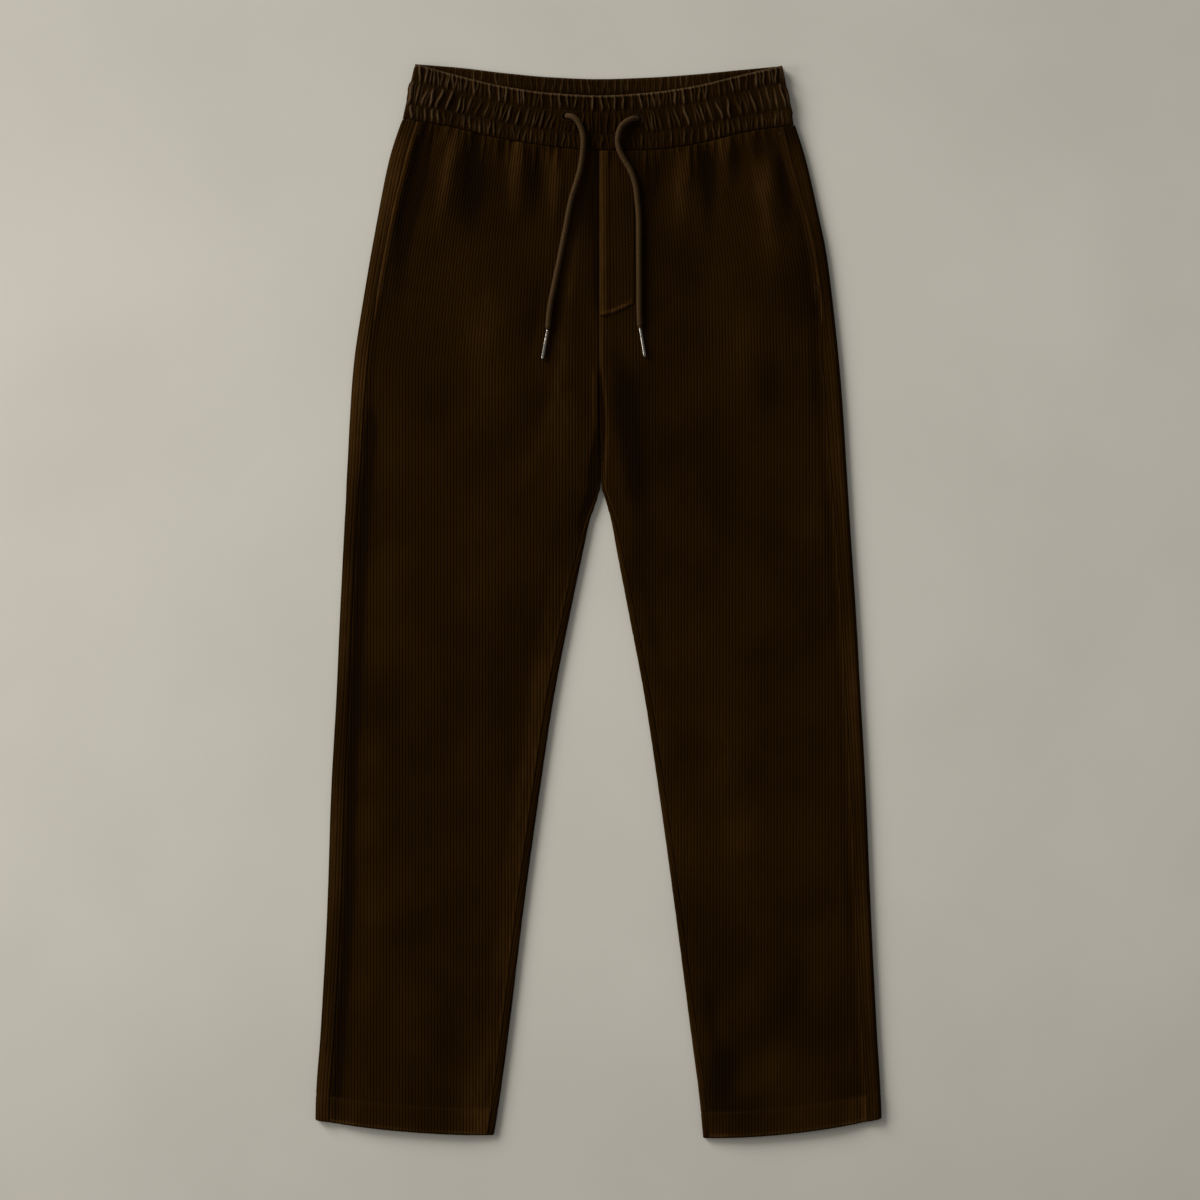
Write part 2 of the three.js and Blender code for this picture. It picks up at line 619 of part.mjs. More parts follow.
// Back waistband: its underside rests flat, and its upper face is gathered where it shows above
// the front's top edge.
const BACK_ROWS = [
  { down: 0, face: 0, gather: 0.55 },
  { down: 3, face: 0.85, gather: 1 },
  { down: 14, face: 1, gather: 0.9 },
  { down: 20, face: 0.7, gather: 0.4 },
];
const BACK_UNDER_ROWS = [
  { down: 0, lift: 1 },
  { down: 3, lift: 0 },
  { down: BAND_HEIGHT, lift: 0 },
];

function backX(share, down) {
  const t = down / BAND_HEIGHT;
  const left = lerp(BAND_EDGE.right[0], BAND_EDGE.right[1], t);
  const right = lerp(BAND_EDGE.left[0], BAND_EDGE.left[1], t);
  return lerp(left, right, share);
}

const backY = (x, down) => lerp(bandLine(x, "back"), bandLine(x, "under"), down / BAND_HEIGHT);

function waistbandBack() {
  const columns = gatherColumns(GATHERS_BACK.count);
  const shares = [0, ...columns.map((c) => lerp(0.012, 0.988, c.at)), 1];
  const waves = [0, ...columns.map((c) => c.level * c.size), 0];
  const face = BACK_ROWS.map((row) =>
    shares.map((share, i) => {
      const x = backX(share, row.down);
      const end = i === 0 || i === shares.length - 1;
      const level = end ? BACK_RIM : lerp(BACK_RIM, BACK_FACE, row.face);
      const z = level + GATHERS_BACK.height * row.gather * waves[i];
      return [x, backY(x, row.down), z];
    }),
  );
  const lowest = shares.map((share) => {
    const x = backX(share, BAND_HEIGHT);
    return [x, backY(x, BAND_HEIGHT), BACK_RIM];
  });
  const under = BACK_UNDER_ROWS.map((row) =>
    PLAIN_COLUMNS.map((share, i) => {
      const x = backX(share, row.down);
      const end = i === 0 || i === PLAIN_COLUMNS.length - 1;
      const z = BACK_UNDER * Math.max(row.lift, end ? 1 : 0);
      return [x, backY(x, row.down), z];
    }),
  );
  return turn(wall([...face, lowest], under), true);
}

// Fly: a flat overlay on the left front, with a straight side that turns in below in a J.
function flyPiece(leg, panel) {
  const height = (x, y) => {
    let best = null;
    for (let j = 0; j < panel.length - 1; j += 1) {
      for (let i = 0; i < panel[0].length - 1; i += 1) {
        const [a, b, c, d] = [panel[j][i], panel[j][i + 1], panel[j + 1][i + 1], panel[j + 1][i]];
        [[a, b, c], [a, c, d]].forEach((t) => {
          const w = weights(x, y, t);
          if (w && w.every((v) => v > -1e-6)) best = w.reduce((s, v, n) => s + v * t[n][2], 0);
        });
      }
    }
    return best;
  };
  const shares = [0, 0.08, 0.22, 0.5, 0.8, 1];
  const drops = [0, 0.1, 0.25, 0.4, 0.55, 0.7, 0.82, 0.88, 0.92, 0.95, 0.975, 1];
  const grid = (lift) =>
    drops.map((drop) =>
      shares.map((share) => {
        const y = lerp(FLY.top, FLY.end, drop);
        const inner = section(leg, y).inner + 1.0;
        const t = clamp((y - FLY.end) / (FLY.hook - FLY.end), 0, 1);
        const width = lerp(4, FLY.width - 1.0, Math.sqrt(1 - (1 - t) ** 2));
        const x = inner + share * width;
        const edge = share === 0 || share === 1 || drop === 1 ? 0.45 : 1;
        return [x, y, height(x, y) + lift(edge, share)];
      }),
    );
  const face = grid((edge, share) => FLY.lift + FLY.thickness * edge + (share < 0.3 ? 0.3 * edge : 0));
  return turn(wall(face, grid(() => FLY.lift)), true);
}

// Weights of a triangle's corners at a place seen from above.
function weights(x, y, [a, b, c]) {
  const area = (b[0] - a[0]) * (c[1] - a[1]) - (c[0] - a[0]) * (b[1] - a[1]);
  if (Math.abs(area) < 1e-9) return null;
  const v = ((x - a[0]) * (c[1] - a[1]) - (c[0] - a[0]) * (y - a[1])) / area;
  const w = ((b[0] - a[0]) * (y - a[1]) - (x - a[0]) * (b[1] - a[1])) / area;
  return [1 - v - w, v, w];
}

// Routes of the drawstring's two ends, from inside each buttonhole to the aglet.
const CORD_RIGHT = [
  [-34.4, 484.6, 9.45],
  [-31.6, 484.4, 10.7],
  [-28.4, 483.8, 11.4],
  [-24.6, 482.0, 11.75],
  [-21.2, 478.8, 11.8],
  [-18.4, 474.0, 11.8],
  [-16.2, 467.4, 11.95],
  [-15.2, 460.4, 12.0],
  [-15.6, 452.6, 11.45],
  [-17.4, 444.6, 10.4],
  [-20.0, 431.6, 9.8],
  [-24.2, 417.6, 9.8],
  [-28.2, 404.6, 10.0],
  [-31.6, 389.6, 10.3],
  [-34.4, 374.0, 10.4],
  [-37.4, 357.8, 10.35],
  [-40.6, 341.6, 10.25],
  [-44.0, 326.0, 10.2],
  [-47.0, 311.0, 10.15],
  [-49.6, 299.0, 10.15],
  [-51.2, 287.4, 10.15],
  [-52.1, 271.0, 10.15],
];
const CORD_LEFT = [
  [42.0, 482.0, 9.45],
  [39.2, 481.9, 10.7],
  [35.8, 481.4, 11.4],
  [31.6, 480.0, 11.8],
  [27.2, 477.6, 12.1],
  [22.8, 473.4, 12.4],
  [19.6, 467.6, 12.3],
  [18.0, 460.6, 12.0],
  [18.2, 453.4, 11.7],
  [20.4, 446.2, 11.5],
  [24.4, 438.8, 11.3],
  [28.8, 431.2, 11.1],
  [32.8, 422.6, 10.8],
  [36.0, 412.6, 10.4],
  [38.6, 400.0, 10.2],
  [39.9, 386.0, 10.2],
  [40.3, 370.0, 10.25],
  [40.3, 352.0, 10.25],
  [40.4, 332.0, 10.2],
  [40.5, 312.0, 10.15],
  [40.6, 293.0, 10.15],
  [41.3, 273.0, 10.15],
];
const AGLET_RIGHT = { from: [-52.2, 270.5, 9.5], to: [-57.5, 241.3, 9.5] };
const AGLET_LEFT = { from: [41.4, 272.5, 9.5], to: [46.3, 243.3, 9.5] };

function cordSolid(points) {
  const path = new THREE.CatmullRomCurve3(points.map((p) => new THREE.Vector3(...p)), false, "centripetal");
  const shape = new THREE.Shape();
  for (let i = 0; i < CORD_SIDES; i += 1) {
    const angle = (2 * Math.PI * i) / CORD_SIDES;
    const [x, y] = [CORD_RADIUS * Math.cos(angle), CORD_RADIUS * Math.sin(angle)];
    if (i === 0) shape.moveTo(x, y);
    else shape.lineTo(x, y);
  }
  shape.closePath();
  return new THREE.ExtrudeGeometry(shape, { steps: CORD_STEPS, extrudePath: path, bevelEnabled: false });
}

function agletMesh(name, { from, to }) {
  const start = new THREE.Vector3(...from);
  const run = new THREE.Vector3(...to).sub(start);
  const length = run.length();
  const profile = [
    [0, 0],
    [AGLET_RADIUS - AGLET_WALL, 0],
    [AGLET_RADIUS, AGLET_WALL],
    [AGLET_RADIUS, length - AGLET_WALL],
    [AGLET_RADIUS - AGLET_WALL, length],
    [0, length],
  ].map(([r, h]) => new THREE.Vector2(r, h));
  const mesh = new THREE.Mesh(new THREE.LatheGeometry(profile, 12), steel);
  mesh.name = name;
  mesh.quaternion.setFromUnitVectors(new THREE.Vector3(0, 1, 0), run.normalize());
  mesh.position.copy(start);
  return mesh;
}

const trousers = new THREE.Group();
trousers.name = "corduroy_trousers";

function add(name, geometry, material) {
  const mesh = new THREE.Mesh(geometry, material);
  mesh.name = name;
  trousers.add(mesh);
  return mesh;
}

Object.entries(SIDES).forEach(([name, leg]) => {
  add("front_" + name, frontPanel(leg), corduroy);
  add("back_" + name, backPanel(leg), corduroy);
});
add("waistband_front", waistbandFront(), corduroy);
add("waistband_back", waistbandBack(), corduroy);
add("fly", flyPiece(SIDES.left, frontGrid(SIDES.left, FRONT_COLUMNS, 1, 0)), corduroy);
add("drawstring_right", cordSolid(CORD_RIGHT), cordCloth);
add("drawstring_left", cordSolid(CORD_LEFT), cordCloth);
trousers.add(agletMesh("aglet_right", AGLET_RIGHT), agletMesh("aglet_left", AGLET_LEFT));

export default trousers;
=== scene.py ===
"""Corduroy drawstring trousers laid flat on their back, seen from straight above."""

import bpy
import numpy as np
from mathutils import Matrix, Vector


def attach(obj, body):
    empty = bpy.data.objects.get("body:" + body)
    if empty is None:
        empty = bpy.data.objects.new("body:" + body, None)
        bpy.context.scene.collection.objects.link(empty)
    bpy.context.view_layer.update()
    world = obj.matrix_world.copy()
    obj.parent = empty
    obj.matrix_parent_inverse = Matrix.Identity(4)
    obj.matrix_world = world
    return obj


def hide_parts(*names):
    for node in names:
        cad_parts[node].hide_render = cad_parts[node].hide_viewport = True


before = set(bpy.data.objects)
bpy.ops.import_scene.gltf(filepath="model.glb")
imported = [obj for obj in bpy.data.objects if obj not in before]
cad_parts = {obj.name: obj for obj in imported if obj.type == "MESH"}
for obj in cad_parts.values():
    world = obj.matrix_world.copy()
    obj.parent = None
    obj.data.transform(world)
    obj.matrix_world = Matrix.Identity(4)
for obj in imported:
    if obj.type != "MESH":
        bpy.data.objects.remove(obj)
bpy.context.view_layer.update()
scene = bpy.context.scene
MM = 0.001


# Camera

LENS = 85.0
FIELD = 1200.0
eye = bpy.data.cameras.new("camera")
eye.lens = LENS
eye.sensor_width = 36.0
eye.clip_start = 0.05
eye.clip_end = 30.0
camera = bpy.data.objects.new("camera", eye)
camera.location = (0.0015, 0.001, (FIELD * LENS / 36.0 + 3.0) * MM)
scene.collection.objects.link(camera)
scene.camera = camera


# Curves and meshes

def smooth(a, b, x):
    """Smooth step from 0 at a to 1 at b: t squared times 3 minus 2t, t being the share of the way."""
    t = np.clip((np.asarray(x, float) - a) / (b - a), 0.0, 1.0)
    return t * t * (3.0 - 2.0 * t)


def lerp(a, b, t):
    """Straight blend: a plus t times the way from a to b."""
    return a + (b - a) * t


def hump(x):
    """Rounded shoulder: 0 at 0, rising as a quarter circle to 1 at 1 and staying there."""
    return np.sqrt(1.0 - (1.0 - np.clip(x, 0.0, 1.0)) ** 2)


def bell(x, at, width):
    """Bell round a place: e to the minus square of the distance from it in widths."""
    return np.exp(-(((x - at) / width) ** 2))


def run_of(points):
    """Length along a chain of points, from 0 at its first."""
    steps = np.linalg.norm(np.diff(points, axis=0), axis=1)
    return np.concatenate([[0.0], np.cumsum(steps)])


def through(keys, values, at):
    """Cubic curve through rows of a table, its slope at each row the harmonic mean of those beside it."""
    span = np.diff(keys)
    slope = np.diff(values) / span
    before, after = slope[:-1], slope[1:]
    total = np.where(np.abs(before + after) < 1e-12, 1.0, before + after)
    inner = np.where(before * after > 0, 2.0 * before * after / total, 0.0)
    tangent = np.concatenate([slope[:1], inner, slope[-1:]])
    at = np.clip(at, keys[0], keys[-1])
    i = np.clip(np.searchsorted(keys, at) - 1, 0, len(keys) - 2)
    h = span[i]
    t = (at - keys[i]) / h
    t2, t3 = t * t, t * t * t
    return (
        (2 * t3 - 3 * t2 + 1) * values[i]
        + (t3 - 2 * t2 + t) * h * tangent[i]
        + (3 * t2 - 2 * t3) * values[i + 1]
        + (t3 - t2) * h * tangent[i + 1]
    )


def skin(ids):
    """Triangles between neighbouring rows and columns of a grid of vertex numbers."""
    a, b, c, d = ids[:-1, :-1], ids[:-1, 1:], ids[1:, 1:], ids[1:, :-1]
    both = [np.stack([a, b, c], -1).reshape(-1, 3), np.stack([a, c, d], -1).reshape(-1, 3)]
    return np.concatenate(both)


def zipped(one, two, at_one, at_two):
    """Triangles between two chains of vertices, taken in the order of their shares of the way."""
    made = []
    i = j = 0
    while i < len(one) - 1 or j < len(two) - 1:
        if j == len(two) - 1 or (i < len(one) - 1 and at_one[i + 1] <= at_two[j + 1]):
            made.append((one[i], two[j], one[i + 1]))
            i += 1
        else:
            made.append((one[i], two[j], two[j + 1]))
            j += 1
    return np.array(made)


def shares(points):
    """Shares of a chain's length at each of its points, from 0 to 1."""
    run = run_of(points)
    return run / max(run[-1], 1e-9)


def piece(name, points, triangles, material, nodes=(), cloth=None, painted_shading=None):
    """Closed mesh from points in millimetres, without the triangles whose corners coincide, facing out.

    cloth holds each point's place in ribs across and along, and the last argument painted light and shade,
    0 to 1.
    """
    t = np.asarray(triangles)
    keep = (t[:, 0] != t[:, 1]) & (t[:, 1] != t[:, 2]) & (t[:, 0] != t[:, 2])
    used, t = np.unique(t[keep], return_inverse=True)
    t = t.reshape(-1, 3)
    p = np.asarray(points, float).reshape(-1, 3)[used]
    volume = np.einsum("ij,ij->i", p[t[:, 0]], np.cross(p[t[:, 1]], p[t[:, 2]])).sum()
    if volume < 0:
        t = t[:, ::-1]
    mesh = bpy.data.meshes.new(name)
    mesh.vertices.add(len(p))
    mesh.vertices.foreach_set("co", (p * MM).astype(np.float32).ravel())
    mesh.loops.add(len(t) * 3)
    mesh.loops.foreach_set("vertex_index", np.ascontiguousarray(t, dtype=np.int32).ravel())
    mesh.polygons.add(len(t))
    mesh.polygons.foreach_set("loop_start", np.arange(0, len(t) * 3, 3, dtype=np.int32))
    mesh.polygons.foreach_set("loop_total", np.full(len(t), 3, dtype=np.int32))
    mesh.update(calc_edges=True)
    mesh.polygons.foreach_set("use_smooth", np.ones(len(t), dtype=bool))
    if cloth is not None:
        values = np.zeros((len(p), 3), np.float32)
        values[:, :2] = np.asarray(cloth, float).reshape(-1, 2)[used]
        values[:, 2] = np.asarray(painted_shading, float).ravel()[used]
        mesh.attributes.new("cloth", "FLOAT_VECTOR", "POINT").data.foreach_set("vector", values.ravel())
    mesh.materials.append(material)
    made = bpy.data.objects.new(name, mesh)
    scene.collection.objects.link(made)
    if nodes:
        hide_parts(*nodes)
    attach(made, "root")
    return made


# Materials

class Nodes:
    """Builds a node tree: each call makes one node, sets its inputs and gives it or its output."""

    def __init__(self, tree):
        self.tree = tree

    def add(self, kind, inputs=None, **settings):
        made = self.tree.nodes.new(kind)
        for key, value in settings.items():
            setattr(made, key, value)
        for key, value in (inputs or {}).items():
            if isinstance(value, bpy.types.NodeSocket):
                self.tree.links.new(value, made.inputs[key])
            else:
                made.inputs[key].default_value = value
        return made

    def maths(self, operation, a, b=0.0):
        return self.add("ShaderNodeMath", {0: a, 1: b}, operation=operation).outputs[0]

    def mix(self, share, a, b):
        return self.add("ShaderNodeMix", {0: share, 6: a, 7: b}, data_type="RGBA").outputs[2]

    def ramp(self, value, low, high, to_low=0.0, to_high=1.0):
        inputs = {0: value, 1: low, 2: high, 3: to_low, 4: to_high}
        return self.add("ShaderNodeMapRange", inputs, interpolation_type="SMOOTHSTEP").outputs[0]

    def noise(self, where, scale, detail=2.0):
        inputs = {"Vector": where, "Scale": scale, "Detail": detail}
        return self.add("ShaderNodeTexNoise", inputs).outputs[0]

    def point(self, x, y):
        return self.add("ShaderNodeCombineXYZ", {0: x, 1: y}).outputs[0]

    def relief(self, height, strength, distance):
        inputs = {"Height": height, "Strength": strength, "Distance": distance}
        return self.add("ShaderNodeBump", inputs).outputs[0]


def new_group(name, inputs, outputs):
    """Node group with named inputs and outputs, its builder, its inputs and its output node."""
    tree = bpy.data.node_groups.new(name, "ShaderNodeTree")
    for in_out, sockets in (("OUTPUT", outputs), ("INPUT", inputs)):
        for socket, kind in sockets.items():
            tree.interface.new_socket(socket, in_out=in_out, socket_type="NodeSocket" + kind)
    n = Nodes(tree)
    return tree, n, n.add("NodeGroupInput").outputs, n.add("NodeGroupOutput")


DARK_BROWN = (0.0087, 0.0035, 0.0002, 1)
BROWN = (0.0134, 0.0056, 0.0006, 1)
# Painted shade: the brown the nap darkens to where its painted light value is low.
PAINTED_SHADE_BROWN = (0.0030, 0.0011, 0.0002, 1)
# Painted shade in the furrows between the ribs.
FURROW_SHADE_BROWN = (0.0032, 0.0012, 0.0002, 1)


def corduroy_group():
    """Colour, roughness and height of corduroy from the cloth's own ribs, with painted shade in its furrows
    and the painted light and shade of its nap.
    """
    tree, n, given, out = new_group(
        "corduroy_tones",
        {"Furrow_Shade": "Float", "Light": "Color"},
        {"Colour": "Color", "Roughness": "Float", "Height": "Float"},
    )
    cloth = n.add("ShaderNodeAttribute", attribute_name="cloth").outputs["Vector"]
    across, along, painted_shading = n.add("ShaderNodeSeparateXYZ", {0: cloth}).outputs
    rib = n.ramp(n.maths("PINGPONG", across, 0.5), 0.03, 0.3)
    tufts = n.point(n.maths("MULTIPLY", across, 5.0), n.maths("MULTIPLY", along, 3.0))
    nap = n.noise(tufts, 1.0, 3.0)
    place = n.add("ShaderNodeTexCoord").outputs["Object"]
    broad = n.noise(place, 11.0, 3.0)
    mottle = n.noise(place, 70.0, 2.0)
    rows = n.point(n.maths("FLOOR", across), n.maths("MULTIPLY", along, 0.07))
    streak = n.noise(rows, 1.37, 2.0)
    worn = n.noise(rows, 2.3, 3.0)
    base = n.mix(n.ramp(broad, 0.3, 0.7), DARK_BROWN, BROWN)
    # Painted shade: the colour darkens where the third value of the cloth attribute is below 0.32.
    base = n.mix(n.ramp(painted_shading, 0.0, 0.32, 0.8, 0.0), base, PAINTED_SHADE_BROWN)
    # Painted highlight: the nap lightens where that value is above 0.3, broken up by noise.
    raised = n.maths("MULTIPLY", n.ramp(painted_shading, 0.3, 1.0), n.ramp(nap, 0.25, 0.75, 0.6, 1.0))
    raised = n.maths("MULTIPLY", raised, n.ramp(streak, 0.3, 0.7, 0.6, 1.0))
    patchy = n.maths("MULTIPLY", raised, n.ramp(mottle, 0.25, 0.8, 0.7, 1.0))
    pile_and_painted_light = n.mix(patchy, base, given["Light"])
    # Painted shade in the furrows, as strong as the group's furrow input, varied by noise.
    sunk = n.maths("MULTIPLY", n.maths("SUBTRACT", 1.0, rib), given["Furrow_Shade"])
    sunk = n.maths("MULTIPLY", sunk, n.ramp(worn, 0.3, 0.7, 0.35, 1.3))
    height = n.maths("ADD", n.maths("MULTIPLY", rib, 0.7), n.maths("MULTIPLY", nap, 0.3))
    tree.links.new(n.mix(sunk, pile_and_painted_light, FURROW_SHADE_BROWN), out.inputs["Colour"])
    tree.links.new(n.ramp(nap, 0.2, 0.8, 0.82, 1.0), out.inputs["Roughness"])
    tree.links.new(height, out.inputs["Height"])
    return tree


def principled(name, colour, roughness, metallic=0.0, **constants):
    """Material with a plain principled surface, and its builder and surface node."""
    made = bpy.data.materials.new(name)
    made.use_nodes = True
    surface = made.node_tree.nodes["Principled BSDF"]
    surface.inputs["Base Color"].default_value = (*colour, 1.0)
    surface.inputs["Roughness"].default_value = roughness
    surface.inputs["Metallic"].default_value = metallic
    for key, value in constants.items():
        surface.inputs[key.replace("_", " ")].default_value = value
    made.diffuse_color = (*colour, 1.0)
    return made, Nodes(made.node_tree), surface


def corduroy_material(name, bump, furrow_shade, light):
    """Corduroy of this garment: how deep its ribs show, how strong the painted shade in its furrows is, and
    the colour of its nap's painted highlights.
    """
    made, n, surface = principled(
        name,
        (0.018, 0.009, 0.002),
        0.95,
        Sheen_Weight=0.03,
        Sheen_Roughness=0.5,
        Sheen_Tint=(1.0, 0.6, 0.28, 1.0),
        Specular_IOR_Level=0.012,
        Specular_Tint=(1.0, 0.62, 0.3, 1.0),
    )
    group = n.add("ShaderNodeGroup")
    group.node_tree = TONES
    group.inputs["Furrow_Shade"].default_value = furrow_shade
    group.inputs["Light"].default_value = (*light, 1.0)
    link = made.node_tree.links.new
    link(group.outputs["Colour"], surface.inputs["Base Color"])
    link(group.outputs["Roughness"], surface.inputs["Roughness"])
    link(n.relief(group.outputs["Height"], bump, 0.0006), surface.inputs["Normal"])
    return made


def thread_material(name, dark, pale, scale):
    """Twisted or braided thread: two browns in fine streaks, from the object's own coordinates."""
    made, n, surface = principled(
        name,
        dark,
        0.8,
        Sheen_Weight=0.04,
        Sheen_Roughness=0.4,
        Sheen_Tint=(1.0, 0.7, 0.4, 1.0),
        Specular_IOR_Level=0.1,
        Specular_Tint=(1.0, 0.75, 0.5, 1.0),
    )
    place = n.add("ShaderNodeTexCoord").outputs["Object"]
    streak = n.ramp(n.noise(place, scale, 3.0), 0.35, 0.68)
    link = made.node_tree.links.new
    link(n.mix(streak, (*dark, 1), (*pale, 1)), surface.inputs["Base Color"])
    link(n.relief(streak, 0.25, 0.0003), surface.inputs["Normal"])
    return made


def metal_material():
    """Satin metal, a little duller in worn patches, from the object's own coordinates."""
    made, n, surface = principled("aglet_metal", (0.24, 0.22, 0.19), 0.25, 1.0)
    place = n.add("ShaderNodeTexCoord").outputs["Object"]
    worn = n.ramp(n.noise(place, 260.0, 2.0), 0.3, 0.75)
    link = made.node_tree.links.new
    link(n.mix(worn, (0.22, 0.20, 0.17, 1), (0.28, 0.26, 0.23, 1)), surface.inputs["Base Color"])
    link(n.ramp(worn, 0.0, 1.0, 0.27, 0.22), surface.inputs["Roughness"])
    return made


TONES = corduroy_group()
# Bump, strength of the painted furrow shade, and colour of the painted highlights.
CORDUROY = corduroy_material("corduroy_panels", 0.35, 0.22, (0.050, 0.0218, 0.0050))
GATHERED = corduroy_material("corduroy_gathered", 0.7, 0.2, (0.090, 0.054, 0.0265))
BRAID = thread_material("drawstring_braid", (0.020, 0.0100, 0.0032), (0.046, 0.0252, 0.0096), 1100.0)
THREAD = thread_material("sewing_thread", (0.010, 0.0043, 0.0009), (0.020, 0.0092, 0.0025), 1500.0)
METAL = metal_material()


# Drawstring

CORD_RADIUS = 2.75
CORD_STEP = 0.6
CORD_SIDES = 32
BRAID_TURN = 1.45
CORD_ROUTES = {
    "right": [
        (-32.4, 484.5, 6.5), (-30.2, 484.3, 8.6), (-27.4, 483.5, 10.5), (-24.2, 481.8, 11.5),
        (-21.2, 478.8, 11.8), (-18.4, 474.0, 11.8), (-16.2, 467.4, 11.95), (-15.2, 460.4, 12.0),
        (-15.4, 452.6, 11.45), (-16.2, 444.6, 10.4), (-18.2, 431.6, 9.8), (-22.1, 417.6, 9.8),
        (-26.2, 404.6, 10.0), (-29.6, 389.6, 10.3), (-32.4, 374.0, 10.4), (-35.6, 357.8, 10.35),
        (-38.7, 341.6, 10.25), (-42.0, 326.0, 10.2), (-45.0, 311.0, 10.15), (-47.5, 299.0, 10.15),
        (-49.2, 287.4, 10.15), (-50.6, 272.6, 9.7), (-51.2, 268.5, 9.5), (-54.9, 248.5, 9.5),
        (-55.9, 243.0, 9.5),
    ],
    "left": [
        (39.6, 481.6, 6.5), (37.2, 481.6, 8.6), (34.4, 481.1, 10.5), (31.2, 479.9, 11.6),
        (27.2, 477.6, 12.1), (22.8, 473.4, 12.4), (20.2, 467.6, 12.3), (19.0, 460.6, 12.0),
        (19.6, 453.4, 11.7), (22.2, 446.2, 11.5), (26.4, 438.8, 11.3), (31.0, 431.2, 11.1),
        (34.6, 422.6, 10.8), (37.2, 412.6, 10.4), (38.6, 400.0, 10.2), (39.9, 386.0, 10.2),
        (40.3, 370.0, 10.25), (40.3, 352.0, 10.25), (40.4, 332.0, 10.2), (40.5, 312.0, 10.15),
        (40.6, 293.0, 10.15), (41.2, 274.6, 9.7), (41.8, 270.5, 9.5), (45.1, 250.5, 9.5),
        (46.0, 245.0, 9.5),
    ],
}
AGLETS = {
    "right": ((-50.9, 270.5, 9.5), (-56.2, 241.3, 9.5)),
    "left": ((41.4, 272.5, 9.5), (46.3, 243.3, 9.5)),
}
TIP_SIDES = 36
SLIM = 0.74


def between(one, two, start, end, t):
    """Straight blend of two points, the first at the start and the second at the end."""
    return ((end - t) * one + (t - start) * two) / (end - start)


def route_through(points, step):
    """Centripetal Catmull-Rom curve through points, sampled at even steps along its length.

    Its knots lie the square root of each distance apart, and three rounds of blends give each point.
    """
    p = np.array(points, float)
    p = np.vstack([2 * p[0] - p[1], p, 2 * p[-1] - p[-2]])
    knots = np.concatenate([[0.0], np.cumsum(np.sqrt(np.linalg.norm(np.diff(p, axis=0), axis=1)))])
    found = []
    for i in range(1, len(p) - 2):
        t = np.linspace(knots[i], knots[i + 1], 40, endpoint=False)[:, None]
        a = [between(p[j], p[j + 1], knots[j], knots[j + 1], t) for j in (i - 1, i, i + 1)]
        b = [between(a[k], a[k + 1], knots[i - 1 + k], knots[i + 1 + k], t) for k in (0, 1)]
        found.append(between(b[0], b[1], knots[i], knots[i + 1], t))
    found = np.vstack([*found, p[-2]])
    run = run_of(found)
    even = np.linspace(0.0, run[-1], int(run[-1] / step) + 1)
    return np.stack([np.interp(even, run, found[:, k]) for k in range(3)], axis=1)


def tube(route, radius):
    """Points and triangles of a closed tube: rings of the given radii (rows, sides) square to the route."""
    rows, sides = radius.shape
    along = np.gradient(route, axis=0)
    along /= np.linalg.norm(along, axis=1)[:, None]
    across = np.cross(along, (0.0, 0.0, 1.0))
    across /= np.linalg.norm(across, axis=1)[:, None]
    up = np.cross(across, along)
    angle = 2 * np.pi * np.arange(sides) / sides
    ring = across[:, None] * np.cos(angle)[None, :, None] + up[:, None] * np.sin(angle)[None, :, None]
    points = (route[:, None] + ring * radius[:, :, None]).reshape(-1, 3)
    ids = np.arange(rows * sides).reshape(rows, sides)
    body = skin(np.hstack([ids, ids[:, :1]]))
    ends = []
    for row, tip in ((0, len(points)), (rows - 1, len(points) + 1)):
        a, b = ids[row], np.roll(ids[row], -1)
        cap = [a, b] if row else [b, a]
        ends.append(np.stack([*cap, np.full(sides, tip)], -1))
    return np.vstack([points, route[:1], route[-1:]]), np.vstack([body, *ends])


def braided_cord(side):
    """Round braided cord: two sets of strands wind round it opposite ways, the higher one showing.

    Radius is 2.75 mm times 0.91 plus 0.09 of the higher strand's sine to the power 1.5. It narrows to go
    into the metal tip, and is a little thinner at its other end.
    """
    route = route_through(CORD_ROUTES[side], CORD_STEP)
    run = run_of(route)
    angle = 2 * np.pi * np.arange(CORD_SIDES) / CORD_SIDES
    one = np.abs(np.sin(4 * angle[None, :] + BRAID_TURN * run[:, None]))
    two = np.abs(np.sin(4 * angle[None, :] - BRAID_TURN * run[:, None]))
    strands = np.maximum(one, two) ** 1.5
    neck = lerp(1.25, CORD_RADIUS, smooth(27.2, 31.5, run[-1] - run))
    start = lerp(0.8, 1.0, hump(run / 2.0))
    radius = (neck * start)[:, None] * (0.91 + 0.09 * strands)
    points, triangles = tube(route, radius)
    made = piece("cord_" + side, points, triangles, BRAID, ["drawstring_" + side])
    return made, route, run[-1]


def aglet(side):
    """Metal tip: rings along its axis, 3.1 mm across at most, with a rolled mouth, two crimped rings and
    a rounded end."""
    start, end = (np.array(p) for p in AGLETS[side])
    length = np.linalg.norm(end - start)
    mouth = [(0.0, 1.3), (0.0, 1.6), (0.3, 1.8), (1.2, 1.88), (2.4, 1.94), (4.2, 1.98)]
    crimp = [(4.6, 1.88), (5.0, 1.84), (5.4, 1.9), (5.8, 2.0)]
    second = [(8.2, 2.02), (8.6, 1.92), (9.0, 1.88), (9.4, 1.94), (9.8, 2.04), (20.0, 2.12)]
    from_end = [(3.0, 2.12), (1.2, 1.9), (0.6, 1.6), (0.2, 1.2), (0.0, 0.7)]
    tail = [(length - at, radius) for at, radius in from_end]
    down, radii = np.array(mouth + crimp + second + tail).T
    along = (end - start) / length
    route = start + along * np.maximum.accumulate(down + 1e-4 * np.arange(len(down)))[:, None]
    points, triangles = tube(route, np.repeat(SLIM * radii[:, None], TIP_SIDES, axis=1))
    return piece("tip_" + side, points, triangles, METAL, ["aglet_" + side])


for side in ("right", "left"):
    cord, cord_route, cord_length = braided_cord(side)
    tip = aglet(side)


# Measures of the garment

